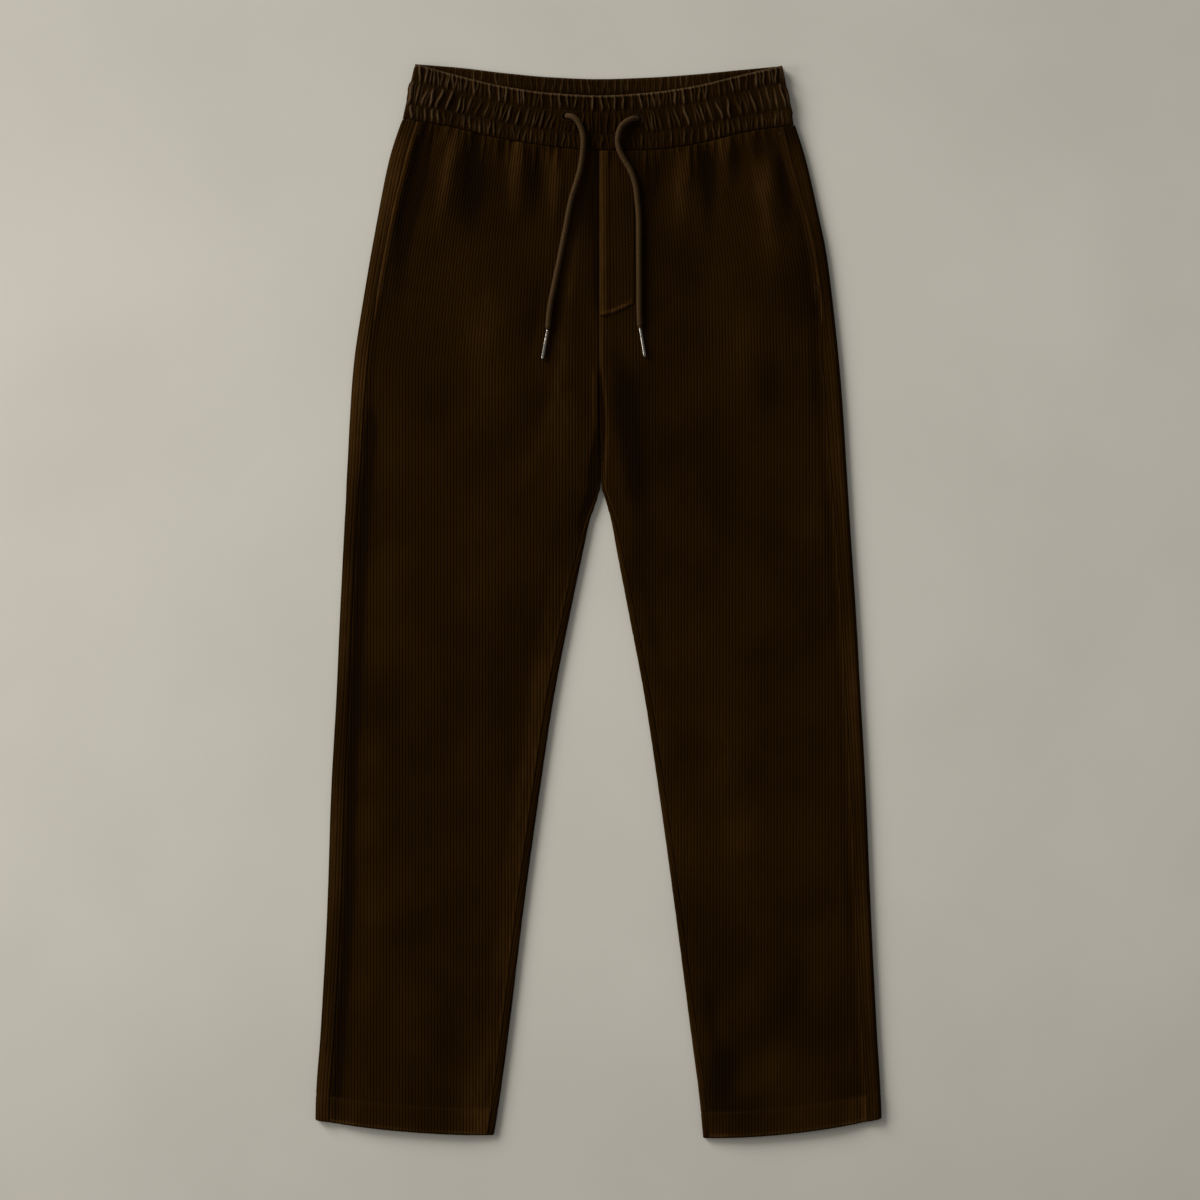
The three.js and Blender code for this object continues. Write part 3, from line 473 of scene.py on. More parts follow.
PITCH = 3.2
RIB = 0.42
FINE = np.array([0.0, 0.16, 0.38, 0.62, 0.84])
COARSE = np.array([0.0, 0.3, 0.7])
GAP = 0.3
EDGE_RADIUS = 2.5
SEAM_RADIUS = 0.6
EDGE_LIP = 1.2
CROTCH_Y = 231.0
MEAN_SEAM = 462.0
FRONT_WALL = 2.0
BACK_WALL = 1.6
LEG_DEPTH = 5.0
WAIST_RISE = 2.3
WAIST_RUN = 22.0
CROWN = 2.0
CROWN_RUN = 42.0
HEM_STITCH = 25.6
HEM_RISE = 0.7
HEM_START = 105.0
HEM_WIDTH = 178.0
HALF_WAIST = 196.0


def leg_table(sign, low, rise, rows):
    """A leg's columns by height: side edge, inner edge, and the side seam and inseam inside them."""
    table = np.array(rows[::-1], float).T
    names = ("y", "side", "inner", "seam", "inseam")
    return {"sign": sign, "low": low, "rise": rise, **dict(zip(names, table))}


LEGS = {
    "right": leg_table(-1, -534.0, 15.0, [
        (482, 195.5, -0.45, 14, 0), (475, 198.5, -0.45, 15, 0), (441, 209.5, -0.45, 15.5, 0),
        (381, 221.5, -0.45, 13, 0), (311, 233.8, -0.45, 12.5, 0), (231, 245.5, -0.65, 14, 0),
        (171, 249.5, -1.5, 13.5, 0.5), (140, 251, -2.2, 13.5, 1.5), (118, 252.2, -2.3, 13, 2.5),
        (97, 253, 2.7, 12.5, 3.5), (81, 254, 8.5, 12.5, 4.5), (51, 255.5, 15.0, 12, 5.5),
        (-9, 258.5, 27.5, 12, 6.5), (-99, 262.5, 45.0, 12.5, 6.5), (-189, 267.5, 58.5, 13.5, 6.5),
        (-309, 271.5, 75.0, 14, 6.5), (-429, 278.0, 89.5, 14, 6.5), (-503, 283.0, 99.5, 14, 6.5),
        (-537, 283.5, 105.0, 14, 6.5),
    ]),
    "left": leg_table(1, -537.0, 19.5, [
        (482, 193.5, 0.55, 12, 0), (475, 196.5, 0.55, 12, 0), (441, 207.5, 0.55, 14, 0),
        (381, 221.3, 0.55, 11, 0), (351, 227.6, 0.55, 10.5, 0), (311, 233.0, 0.55, 10, 0),
        (231, 241.5, 0.7, 16, 0),
        (171, 246.0, 1.53, 16, 0.5), (140, 247.8, 2.23, 15.5, 1.5), (118, 249.2, 2.33, 15, 2.5),
        (97, 250.5, 8.0, 14.5, 3.5), (81, 251.5, 12.5, 14, 4.5), (51, 253.5, 18.0, 14, 5.5),
        (-9, 257.5, 29.5, 14, 6.5), (-99, 262.5, 46.5, 14, 6.5), (-189, 267.5, 60.0, 14, 6.5),
        (-309, 272.5, 76.5, 14, 6.5), (-429, 278.5, 92.0, 14, 6.5), (-503, 282.8, 101.5, 14, 6.5),
        (-537, 283.8, 104.5, 14, 6.5),
    ]),
}
BAND_X = np.array([-196.0, -150, -100, -50, 0, 50, 100, 150, 196])
BAND = {
    "top": np.array([537, 525, 514, 507.5, 505, 507.5, 514, 525, 535]),
    "row1": np.array([520, 508.5, 497, 490.5, 488, 490.5, 497, 508.5, 519]),
    "row2": np.array([496.5, 488.5, 478, 469.5, 465, 467, 475, 484.5, 492]),
    "seam": np.array([482, 474, 462.5, 454.5, 450.4, 450.6, 457, 469, 475.5]),
    "back": np.array([537, 533.5, 528, 523.8, 522, 523.4, 526.5, 531, 535]),
    "under": np.array([482, 478.5, 473.5, 469.8, 468, 468.8, 471, 474, 475.5]),
}
WIDTHS = {"top": 183.5, "back": 183.5, "row1": 188.5, "row2": 193.0, "seam": 196.0, "under": 196.0}


def band_line(x, name):
    """Height on the garment of one of the waistband's lines, from its table."""
    return through(BAND_X, BAND[name].astype(float), x * HALF_WAIST / WIDTHS[name])


def section(leg, y):
    """Edges and seams of a leg at a height, and how round its inner edge is there."""
    found = {name: through(leg["y"], leg[name], y) for name in ("side", "inner", "seam", "inseam")}
    found["open"] = smooth(CROTCH_Y + 4, CROTCH_Y - 34, y)
    found["round"] = lerp(SEAM_RADIUS, EDGE_RADIUS, found["open"])
    return found


def depth_at(y, seam_y):
    """Depth of both layers: 5 mm, and 2.3 mm more at the waistband, falling off by e in 22 mm."""
    return LEG_DEPTH + WAIST_RISE * np.exp(-np.maximum(seam_y - y, 0.0) / WAIST_RUN)


def hem_y(leg, x):
    """Height of the hem: its lowest point plus its rise times the square of the way to the side."""
    return leg["low"] + leg["rise"] * np.maximum((leg["sign"] * x - HEM_START) / HEM_WIDTH, 0.0) ** 2


def folded(along, depth, radius, inset=0.0):
    """Point of a folded edge, from the distance along its section: a wall, a quarter circle, a flat."""
    half = depth / 2 - inset
    bend = np.maximum(np.minimum(radius, depth / 2) - inset, 0.15)
    straight = half - bend
    s = np.abs(along)
    angle = np.clip((s - straight) / bend, 0.0, np.pi / 2)
    over = np.maximum(s - straight - bend * np.pi / 2, 0.0)
    inside = bend * (1 - np.cos(angle)) + over + inset
    height = np.clip(s, 0.0, straight) + bend * np.sin(angle)
    return inside, depth / 2 + np.sign(along) * height


def reach(depth, radius, inset=0.0):
    """Distance along a folded edge's section from half depth to where it becomes flat."""
    bend = np.maximum(np.minimum(radius, depth / 2) - inset, 0.15)
    return depth / 2 - inset - bend + bend * np.pi / 2


def seam_along(inside, depth, radius, inset=0.0):
    """Distance along the section at which a seam runs that lies this far inside the edge."""
    full, own = reach(depth, radius), reach(depth, radius, inset)
    along = lerp(EDGE_LIP, full + inside - radius, smooth(0, EDGE_RADIUS, inside))
    return np.where(along < full, along * own / full, own + along - full)


def furrows(ribs, y):
    """Depth of the furrows, as a share: a bell of 0.17 ribs half width round each whole number of ribs,
    times 0.75 and up to a quarter more or less by two sines down the cloth, at another phase in each."""
    which = np.round(ribs)
    worn = 0.75 + 0.25 * np.sin(0.11 * y + 7.3 * which) * np.sin(0.037 * y + 3.1 * which)
    return worn * bell(ribs, which, 0.17)


def within(at, low, high):
    """Share of a panel's relief at a place across it: it fades out 2 mm from the panel's two ends."""
    return smooth(0.3, 2.0, at - low) * smooth(0.3, 2.0, high - at)


# Creases of the fronts

FOLDS = np.array([
    # across, from, to, half width, height, lean
    (-181.5, 484, 352, 11, -2.12, -22), (-169, 478, 436, 5, 0.85, -12), (-160, 476, 424, 5, 0.94, -10),
    (-150, 472, 430, 5, -0.85, -8), (-150, 474, 338, 10, 2.29, -20), (-124, 468, 340, 14, -1.87, -6),
    (-112, 464, 424, 6, 0.59, -2), (-93, 460, 428, 7, -1.02, 4), (-82.5, 458, 362, 9, 1.95, -3),
    (-63, 454, 364, 9, -1.53, 0), (-43.5, 450, 326, 9, 1.44, 0), (-27, 446, 390, 7, -0.68, 0),
    (-4, 450, 262, 5, -1.44, 0), (56, 446, 380, 9, -0.91, -2), (83, 454, 342, 10, 1.54, -2),
    (97, 456, 400, 6, -0.7, 0), (110, 456, 350, 9, -1.61, 2), (127, 464, 402, 8, 1.4, 2),
    (137, 460, 386, 7, -1.05, 4), (153, 474, 430, 6, 0.98, 4), (168, 448, 288, 11, 1.61, 10),
    (160, 468, 410, 6, -0.84, 10), (187, 448, 366, 9, -1.26, 10), (198, 424, 294, 7, 0.77, 12),
    (-196, 400, 240, 12, -1.02, -14), (-120, 330, 180, 17, 0.77, 8), (-60, 320, 190, 19, -0.68, -6),
    (95, 330, 180, 17, -0.63, -8), (150, 300, 140, 19, 0.63, 10), (-30, 215, 100, 12, 0.78, -22),
    (36, 220, 100, 13, 0.25, 24), (-62, 215, 40, 16, -0.72, -26), (70, 215, 40, 16, -0.3, 28),
    (-150, -360, -484, 20, -0.66, 40), (-190, -60, -260, 22, -0.54, -20), (-130, -120, -330, 20, 0.54, -22),
    (170, -40, -250, 24, -0.6, 26), (120, -100, -300, 22, 0.54, 24), (200, -340, -470, 20, -0.66, -34),
    (-215, 120, -60, 20, 0.42, -8), (215, 120, -60, 20, 0.42, 8), (-170, -430, -512, 13, 0.48, 30),
    (178, -430, -512, 14, 0.48, -26), (-100, 60, -120, 17, 0.48, -26), (-66, -60, -300, 13, 0.48, -34),
    (96, 40, -160, 17, 0.48, 26), (62, -80, -310, 13, 0.48, 32), (-226, -260, -430, 15, 0.42, -12),
    (232, -200, -400, 16, 0.42, 14),
], float)


def little_folds():
    """Short puckers that hang from the waistband's seam, 8.6 mm apart on average, from seeded numbers."""
    rng = np.random.default_rng(21)
    places = np.arange(-186, 188, 8.6) + rng.uniform(-2.6, 2.6, 44)
    rows = []
    for x in places:
        top = float(band_line(np.array(x), "seam")) + 3.0
        run = rng.uniform(12, 44)
        width = rng.uniform(1.6, 3.4)
        height = rng.uniform(0.6, 1.5)
        rows.append((x, top, top - run, width, height, x * 0.02 + rng.uniform(-2, 2)))
    return np.array(rows)


PUCKERS = little_folds()
SWELLS = np.random.default_rng(5).uniform(0, 2 * np.pi, (9, 2))
SWELL = 0.075


def creases(x, y, table):
    """Sum of the table's creases: a leaning bell across, and along it a sine of the root of the share to
    the power 1.2, so that each is strongest near its start and dies out slowly."""
    total = np.zeros(np.broadcast(x, y).shape)
    for place, start, end, width, height, lean in table:
        t = (start - y) / (start - end)
        body = np.sin(np.pi * np.sqrt(np.clip(t, 0.0, 1.0))) ** 1.2
        off = (x - place - lean * (t - 0.3)) / width
        total += height * np.exp(-off * off) * np.clip(body, 0.0, None)
    return total


def swells(x, y):
    """Slow unevenness: a sum of nine sines 34 to 137 mm long, each 0.075 mm high."""
    total = np.zeros(np.broadcast(x, y).shape)
    for i, (phase, turn) in enumerate(SWELLS):
        long = 34.0 * 1.19 ** i
        total += np.sin((x * np.cos(turn) + y * np.sin(turn) * 0.45) * 2 * np.pi / long + phase)
    return total * SWELL


def under_cords(x, y):
    """Share of the creases that is left near the drawstring's ends, which press the cloth flat."""
    left = np.ones(np.broadcast(x, y).shape)
    for route in CORD_ROUTES.values():
        across, along = np.array(route)[8:, :2].T
        order = np.argsort(along)
        at = np.interp(y, along[order], across[order])
        near = smooth(14.0, 5.0, np.abs(x - at)) * smooth(232.0, 240.0, y)
        left *= 1.0 - 0.8 * near
    return left


POCKETS = {"right": (470.0, 302.0), "left": (470.0, 300.0)}
POCKET_ROLL = 7.0


def pocket_of(leg):
    """Top and bottom of a leg's pocket mouth."""
    return POCKETS["right" if leg["sign"] < 0 else "left"]


def crown_of(c, from_side, from_inner, below_seam):
    """Rise of a front over its middle: 2 mm within 42 mm of its seams, less beside the middle seam, and
    none at the waistband."""
    middle = lerp(1.0, smooth(0, CROWN_RUN, from_inner), lerp(0.45, 1.0, c["open"]))
    return CROWN * smooth(0, CROWN_RUN, from_side) * middle * smooth(0, 70, below_seam)


def front_height(leg, x, y, c):
    """Height of a front panel and of its creases alone.

    It is the depth of both layers, plus the crown, the creases, a roll along the pocket's mouth and the
    hem, less the furrow beside the side seam and the rounding of the edges.
    """
    d = leg["sign"] * x
    seam_y = band_line(x, "seam")
    from_side = c["side"] - c["seam"] - GAP - d
    from_inner = d - c["inner"]
    above = y - hem_y(leg, x)
    crown = crown_of(c, from_side, from_inner, seam_y - y)
    ends = smooth(2, 16, from_side) * smooth(0, 12, from_inner)
    soft = creases(x, y, FOLDS) + creases(x, y, PUCKERS) + swells(x, y)
    relief = soft * ends * under_cords(x, y) * smooth(10, 40, above)
    top, bottom = pocket_of(leg)
    mouth = smooth(bottom - 7, bottom + 7, y) * smooth(top + 8, top - 8, y)
    roll = mouth * (0.9 * smooth(POCKET_ROLL + 3, POCKET_ROLL - 2, from_side))
    stitched = mouth * 0.45 * bell(from_side, POCKET_ROLL, 1.1)
    ditch = (1 - mouth) * 0.6 * bell(from_side, 6.5, 5.0) * smooth(0, 30, seam_y - y)
    hem = HEM_RISE * smooth(28.0, 25.2, above) - 0.35 * bell(above, HEM_STITCH, 0.9)
    side_drop = 1.0 - hump(from_side)
    r = c["round"]
    e = np.clip(from_inner, 0.0, r)
    inner_drop = r - np.sqrt(np.maximum(r * r - (r - e) ** 2, 0.0))
    hem_drop = 1.4 * (1.0 - hump(above / 1.4))
    waist_drop = 0.45 * (1.0 - hump((seam_y - y - 0.4) / 1.4))
    z = depth_at(y, seam_y) + crown + relief + roll - stitched - ditch + hem
    return z - side_drop - inner_drop - hem_drop - waist_drop, relief + 0.8 * roll - ditch


def fan(leg, y):
    """Spread of the ribs: they fan out from the narrow waist, and run straight down below the hips."""
    hips = through(leg["y"], leg["side"] - leg["seam"], CROTCH_Y)
    here = through(leg["y"], leg["side"] - leg["seam"], y)
    return np.where(y > CROTCH_Y, here / hips, 1.0)


def level(start, x, leg, line):
    """Height of a row: it follows the waist's line above, the hem's below, and is straight between."""
    top = band_line(np.clip(x, -HALF_WAIST, HALF_WAIST), line) - MEAN_SEAM
    low = hem_y(leg, x) - leg["low"]
    return start + top * smooth(240, 430, start) + low * smooth(leg["low"] + 170, leg["low"] + 40, start)


NEAR_WAIST = np.array([0, 0.5, 1.2, 2.4, 4.0])
NEAR_HEM = [32, 29.5, 28, 27, 26.3, 25.6, 24.9, 24, 21, 16, 10, 5, 2.6, 1.4, 0.7, 0.25, 0.0]


def row_heights(leg, upper, lower):
    """Starting heights of a panel's rows: close at the waist and at the hem, wider between."""
    top = MEAN_SEAM - 0.5
    hips = np.arange(top - NEAR_WAIST[-1] - upper, CROTCH_Y, -upper)
    leg_rows = np.arange(CROTCH_Y, leg["low"] + 36, -lower)
    return np.concatenate([top - NEAR_WAIST, hips, leg_rows, leg["low"] + np.array(NEAR_HEM)])


OFFSETS = np.array([0.0, 0.35, 0.9])
ENDS = len(OFFSETS)
BODY = slice(ENDS, -ENDS)
MARGIN = 1.6


def rib_places(first, last, part=FINE):
    """Places of a panel's columns across, from the first to before the last rib, some in each rib."""
    return (np.arange(first, last)[:, None] + part).ravel()[None, :] * PITCH


def full_rows(starts, q):
    """Starting heights of a grid's rows, repeated over its columns and over those beside its ends."""
    return np.repeat(starts, q.shape[1] + 2 * ENDS, axis=1)


def columns_of(q, low, high):
    """Places of a panel's columns at each row: three beside each end, and between them the ribs, which
    stop short of the ends."""
    body = np.clip(q, low[:, BODY] + MARGIN, high[:, BODY] - MARGIN)
    return np.hstack([low[:, :ENDS] + OFFSETS, body, high[:, -ENDS:] - OFFSETS[::-1]])


def merged_ids(q, low, high):
    """Vertex numbers of those columns, in which all the ribs stopped at one end share a vertex."""
    rows, count = low.shape
    inner = count - 2 * ENDS
    lows = (q <= low[:, BODY] + MARGIN).sum(axis=1)[:, None]
    highs = (q >= high[:, BODY] - MARGIN).sum(axis=1)[:, None]
    body = np.clip(np.arange(inner)[None, :], lows - 1, inner - highs) + ENDS
    left = np.tile(np.arange(ENDS), (rows, 1))
    right = np.tile(np.arange(count - ENDS, count), (rows, 1))
    return np.hstack([left, body, right]) + np.arange(rows)[:, None] * count


def shell(name, node, outer, ids, inner, cloth, painted_shading):
    """Closed cloth from an outer grid and a plainer inner one with the same rows."""
    rows, count = inner.shape[:2]
    points = np.vstack([outer.reshape(-1, 3), inner.reshape(-1, 3)])
    back = outer.shape[0] * outer.shape[1] + np.arange(rows * count).reshape(rows, count)
    faces = [skin(np.hstack([ids, back[:, ::-1], ids[:, :1]]))]
    for row, flip in ((0, False), (rows - 1, True)):
        one, two = ids[row], back[row]
        cap = zipped(one, two, shares(points[one]), shares(points[two]))
        faces.append(cap[:, ::-1] if flip else cap)
    flat = np.vstack([cloth.reshape(-1, 2), inner.reshape(-1, 3)[:, :2] / PITCH])
    # Painted light and shade of the outer face; the inside faces get a plain middle value.
    tone = np.concatenate([np.clip(painted_shading, 0, 1).ravel(), np.full(rows * count, 0.3)])
    return piece(name, points, np.vstack(faces), CORDUROY, [node], flat, tone)


def front_bounds(leg, y):
    """Edges of a front panel at each height, from the middle: beside the back's lip, and at the side
    seam. Also the lip's height."""
    c = section(leg, y)
    depth = depth_at(y, band_line(leg["sign"] * c["inner"], "seam"))
    lip = seam_along(c["inseam"], depth, c["round"]) + GAP
    inside, lip_z = folded(lip, depth, c["round"])
    shift = np.where(leg["sign"] < 0, 0.6, -0.45) * smooth(1.5, 0.0, c["inseam"])
    return c, c["inner"] + inside + shift, c["side"] - c["seam"] - GAP, lip_z


# Soft patches of painted light and shade, such as the painted shadow below the left cord's top.
PATCHES = np.array([
    # across, along, half width, half length, lean, painted light (above 0) or painted shade (below 0)
    (-28, 335, 8, 75, 0.12, 0.52), (-48, 195, 13, 45, 0.30, 0.28), (-66, 140, 14, 35, 0.30, 0.25),
    (30, 426, 7, 25, 0.0, -0.2), (26, 200, 16, 55, -0.12, -0.38), (37, 120, 15, 72, -0.10, -0.30),
    (-123, 311, 9, 45, 0.0, -0.15), (-128, 440, 9, 25, 0.0, 0.08), (-208, 170, 26, 42, 0.0, -0.12),
    (-80, 45, 22, 35, 0.0, -0.12), (167, 225, 19, 75, 0.0, -0.22), (110, 60, 60, 140, 0.0, -0.12),
    (128, -468, 17, 38, 0.3, -0.36), (-130, -498, 14, 36, 0.2, 0.26),
    (-54, -12, 10, 62, 0.19, 0.12), (-90, -290, 12, 130, 0.13, 0.08), (-130, -388, 27, 42, 0.13, 0.10),
    (54, -30, 9, 66, -0.19, -0.18), (113, -425, 11, 52, -0.13, -0.22), (140, -508, 30, 26, 0.0, -0.26),
], float)


def patches(x, y):
    """Painted light and shade in soft patches: a bell across, leaning, and one along."""
    total = np.zeros(np.broadcast(x, y).shape)
    for across, along, wide, long, lean, amount in PATCHES:
        off = (x - across - lean * (y - along)) / wide
        total += amount * np.exp(-off * off - ((y - along) / long) ** 2)
    return total


def front_painted_shading(leg, x, y, c, relief):
    """Light and shade painted on a front: painted highlights on its creases, its pocket mouth and its
    folded edges, and painted shade in its hollows and along the right leg's inner side near the crotch."""
    from_side = c["side"] - c["seam"] - GAP - leg["sign"] * x
    from_inner = leg["sign"] * x - c["inner"]
    above = y - hem_y(leg, x)
    top, bottom = pocket_of(leg)
    right = leg["sign"] < 0
    # Pocket mouth and side seam: painted highlights on them, painted shade in the pocket's hollow and
    # beside the right leg's seam
    mouth = smooth(bottom - 26, bottom - 8, y)
    lit = np.where(right, 1.0, smooth(410, 340, y))
    edge = mouth * lit * bell(from_side, 0.0, 1.9) + 0.2 * smooth(5.0, 0.5, from_side)
    hollow = smooth(top + 16, top - 10, y) * np.where(right, smooth(320, 400, y), 0.35 * mouth)
    edge = edge - 0.42 * hollow * bell(from_side, 15.0, 9.0)
    beside = bell(from_side, 7.0, 9.0) * smooth(205, 165, y)
    edge = edge + beside * np.where(right, -0.34, 0.12)
    # Painted shade along the crotch, beside the middle seam and over the upper fronts, and painted
    # highlights on the crotch's rim and the middle seam
    valley = np.where(right, 1.0 + 14.0 * smooth(190, 125, y), 4.4 * bell(y, 178.0, 42.0))
    below = smooth(45, 105, y) * smooth(240, 218, y)
    shade = smooth(valley + 2.5, valley * 0.6, from_inner) * below
    shade = shade + smooth(8.0, 2.0, from_inner) * smooth(250, 330, y) * right * 0.8
    shade = shade + 0.3 * bell(x, 16.0, 9.0) * smooth(215, 250, y)
    shade = shade + 0.14 * smooth(250, 330, y)
    rim = bell(from_inner, np.where(right, 6.0, 2.6 + valley), 2.2) * below
    middle = 0.7 * bell(from_inner, 2.0, 1.7) * smooth(215, 245, y) * (not right)
    middle = middle + 0.4 * rim * np.where(right, smooth(165, 200, y), 1.0)
    middle = middle + 0.35 * bell(from_inner, 3.4, 1.6) * smooth(112, 88, y)
    # Inseam of the right leg: a painted highlight beside it, and darker further in
    inside = 0.17 * bell(from_inner, 17.0, 9.0) - 0.12 * bell(from_inner, 62.0, 28.0)
    inside = inside + 0.2 * bell(from_inner, 9.5, 2.0)
    middle = middle + inside * smooth(60, 0, y) * right
    # Hem: a painted highlight along its fold, and painted shade at its very edge
    hem = 0.5 * bell(above, 2.6, 1.4) + 0.16 * smooth(28, 25, above)
    ends = hem * (0.55 + smooth(34, 5, np.minimum(from_side, from_inner))) - 0.5 * smooth(1.7, 0.7, above)
    # Painted light on the creases' ridges and painted shade in their troughs, with the painted patches and
    # the marks above
    return 0.38 + 0.24 * relief + patches(x, y) + edge + middle + ends - 0.5 * shade


def front_panel(side):
    """Front panel: ribs 3.2 mm apart run down it, with furrows 0.42 mm deep between them."""
    leg = LEGS[side]
    sign = leg["sign"]
    starts = row_heights(leg, 4.6, 8.0)[:, None]
    q = rib_places(-3, 88)
    y = full_rows(starts, q)
    for _ in range(6):
        c, low, high, lip_z = front_bounds(leg, y)
        spread = q * fan(leg, y)[:, BODY]
        x = sign * columns_of(spread, low, high)
        ids = merged_ids(spread, low, high)
        y = level(starts, x, leg, "seam")
    c, low, high, lip_z = front_bounds(leg, y)
    z, relief = front_height(leg, x, y, c)
    z -= 0.9 * (1 - hump((sign * x - low) / 1.2)) * smooth(2.0, 5.0, c["inseam"])
    z[:, 0] = np.minimum(z[:, 0], lip_z[:, 0])
    across = sign * x / fan(leg, y) / PITCH
    z -= RIB * furrows(across, y) * within(sign * x, low, high)
    painted_shading = front_painted_shading(leg, x, y, c, relief)
    cloth = np.stack([across, y / PITCH], -1)
    outer = np.stack([x, y, z], -1)
    inner = front_inside(leg, starts)
    return shell("trouser_front_" + side, "front_" + side, outer, ids, inner, cloth, painted_shading)


def front_inside(leg, starts):
    """Inside of a front panel: 2 mm below its crown, 3.5 mm away from its edges, and just below the
    back's lip at the middle seam."""
    sign = leg["sign"]
    part = np.array([0.0, 0.03, 0.12, 0.3, 0.5, 0.7, 0.88, 0.97, 1.0])[None, :]
    y = starts + part * 0
    for _ in range(6):
        c, low, high, lip_z = front_bounds(leg, y)
        d = lerp(low, high, part)
        y = level(starts, sign * d, leg, "seam")
    seam_y = band_line(sign * d, "seam")
    crown = crown_of(c, high - d, d - c["inner"], seam_y - y)
    hollow = 1.5 * smooth(0, 14, np.minimum(high - d, d - low))
    z = depth_at(y, seam_y) + crown - FRONT_WALL - hollow
    narrow = (1 - smooth(0.5, 3.0, c["inseam"])) * (part < 0.02)
    return np.stack([sign * d, y, lerp(z, lip_z - 0.15, narrow)], -1)


def back_shape(leg, q, y, inset=0.0):
    """Point of a back panel's section, q being the way round it from the side edge: up over it below
    zero, else along the flat underside to the inner edge and up round that."""
    c = section(leg, y)
    depth_s = depth_at(y, band_line(leg["sign"] * c["side"], "seam"))
    depth_i = depth_at(y, band_line(leg["sign"] * c["inner"], "seam"))
    bend_s = np.maximum(EDGE_RADIUS - inset, 0.15)
    bend_i = np.maximum(np.minimum(c["round"], depth_i / 2) - inset, 0.15)
    flat = c["side"] - c["inner"] - bend_s - bend_i - 2 * inset
    reach_s, reach_i = reach(depth_s, EDGE_RADIUS, inset), reach(depth_i, c["round"], inset)
    from_inner = q - reach_s - flat - reach_i
    one, z_one = folded(-q, depth_s, EDGE_RADIUS, inset)
    two, z_two = folded(from_inner, depth_i, c["round"], inset)
    outside = from_inner < -reach_i - flat / 2
    d = np.where(outside, c["side"] - one, c["inner"] + two)
    low = -seam_along(c["seam"], depth_s, EDGE_RADIUS, inset)
    high = reach_s + flat + reach_i + seam_along(c["inseam"], depth_i, c["round"], inset)
    ends = {"low": low, "high": high, "s": reach_s, "i": reach_i, "flat": flat}
    return d, np.where(outside, z_one, z_two), from_inner, ends


def back_rows(leg, starts, places, inset=0.0):
    """Heights of a back panel's points. The rows follow the front's seam line on top, and the back's
    own one underneath."""
    y = starts + np.zeros(places.shape)
    for _ in range(6):
        d, z, from_inner, _ = back_shape(leg, places, y, inset)
        x = leg["sign"] * d
        on_top = np.maximum(smooth(0.0, -2.5, places), smooth(-2.5, 0.5, from_inner))
        y = lerp(level(starts, x, leg, "under"), level(starts, x, leg, "seam"), on_top)
    return x, y, z


def outward(leg, places, y):
    """Direction out of a back panel's surface, across and up: square to its section's own run."""
    step = 0.02
    before, z_before = back_shape(leg, places - step, y)[:2]
    after, z_after = back_shape(leg, places + step, y)[:2]
    run, rise = after - before, z_after - z_before
    size = np.maximum(np.hypot(run, rise), 1e-9)
    out_d, out_z = -rise / size, run / size
    flip = np.where(np.median(out_z[:, 40:60]) > 0, -1.0, 1.0)
    return out_d * flip, out_z * flip


def back_painted_shading(leg, x, y, from_end, bulge):
    """Light and shade painted on a back: lighter above the right thigh, painted shade on the left hip, and
    painted highlights beside the left inseam and on the raised strip, with a slow sine of uneven tone."""
    if leg["sign"] < 0:
        tone = lerp(0.34, 0.54, smooth(30, 210, y))
    else:
        tone = 0.31 - 0.18 * smooth(290, 330, y) + 0.12 * bell(y, 255.0, 35.0)
        tone = tone + 0.14 * smooth(12.0, 7.0, from_end) * smooth(110.0, 80.0, y)
    return tone + 0.25 * bulge + 0.1 * np.sin(y / 37.0 + x / 60.0)


def back_panel(side):
    """Back panel: it wraps round the side edge up to the side seam, lies flat, and wraps round the
    inner edge up to the inseam. Its ribs run along the side edge, and its furrows, puckers and creases
    are sunk square to its surface."""
    leg = LEGS[side]
    starts = row_heights(leg, 9.0, 10.0)[:, None]
    q = np.hstack([rib_places(-8, 1), rib_places(1, 91, COARSE)])
    y = full_rows(starts, q)
    places = np.repeat(np.pad(q, ((0, 0), (ENDS, ENDS)), mode="edge"), len(starts), axis=0)
    for _ in range(4):
        ends = back_shape(leg, places, y)[3]
        low, high = ends["low"] + y * 0, ends["high"] + y * 0
        places = columns_of(q + 0 * y[:, BODY], low, high)
        x, y, z = back_rows(leg, starts, places)
    ids = merged_ids(q + 0 * y[:, BODY], low, high)
    out_d, out_z = outward(leg, places, y)
    above = y - hem_y(leg, x)
    seam_y = band_line(x, "seam")
    strip = smooth(-2.5, -6.5, places) * smooth(10, 40, seam_y - y)
    bulge = strip * (0.75 - 0.25 * np.cos((places - low) * np.pi / 9.0))
    hem_top = HEM_RISE * smooth(28.0, 25.2, above) * smooth(0.0, -3.0, places)
    stitched = 0.35 * bell(above, HEM_STITCH, 0.9)
    gathered = 0.5 + 0.5 * np.sin(x * 0.74 + 1.6 * np.sin(x * 0.11))
    puckered = gathered * np.exp(-(band_line(x, "under") - y) / 16.0)
    sunk = RIB * furrows(places / PITCH, y) * within(places, low, high) + stitched
    sunk += 1 - hump(above / 1.2)
    sunk += 0.7 * (1 - hump((places - low) / 1.0)) + 0.5 * (1 - hump((high - places) / 1.0))
    troughs = np.clip(-0.35 * creases(x, y, FOLDS), 0.0, 0.7)
    sunk += (0.7 * puckered + troughs) * smooth(0.0, 8.0, places)
    x = x - leg["sign"] * out_d * sunk
    z = z - out_z * sunk + bulge + hem_top
    painted_shading = back_painted_shading(leg, x, y, high - places, bulge)
    cloth = np.stack([places / PITCH, y / PITCH], -1)
    outer = np.stack([x, y, z], -1)
    inner = back_inside(leg, starts)
    return shell("trouser_back_" + side, "back_" + side, outer, ids, inner, cloth, painted_shading)


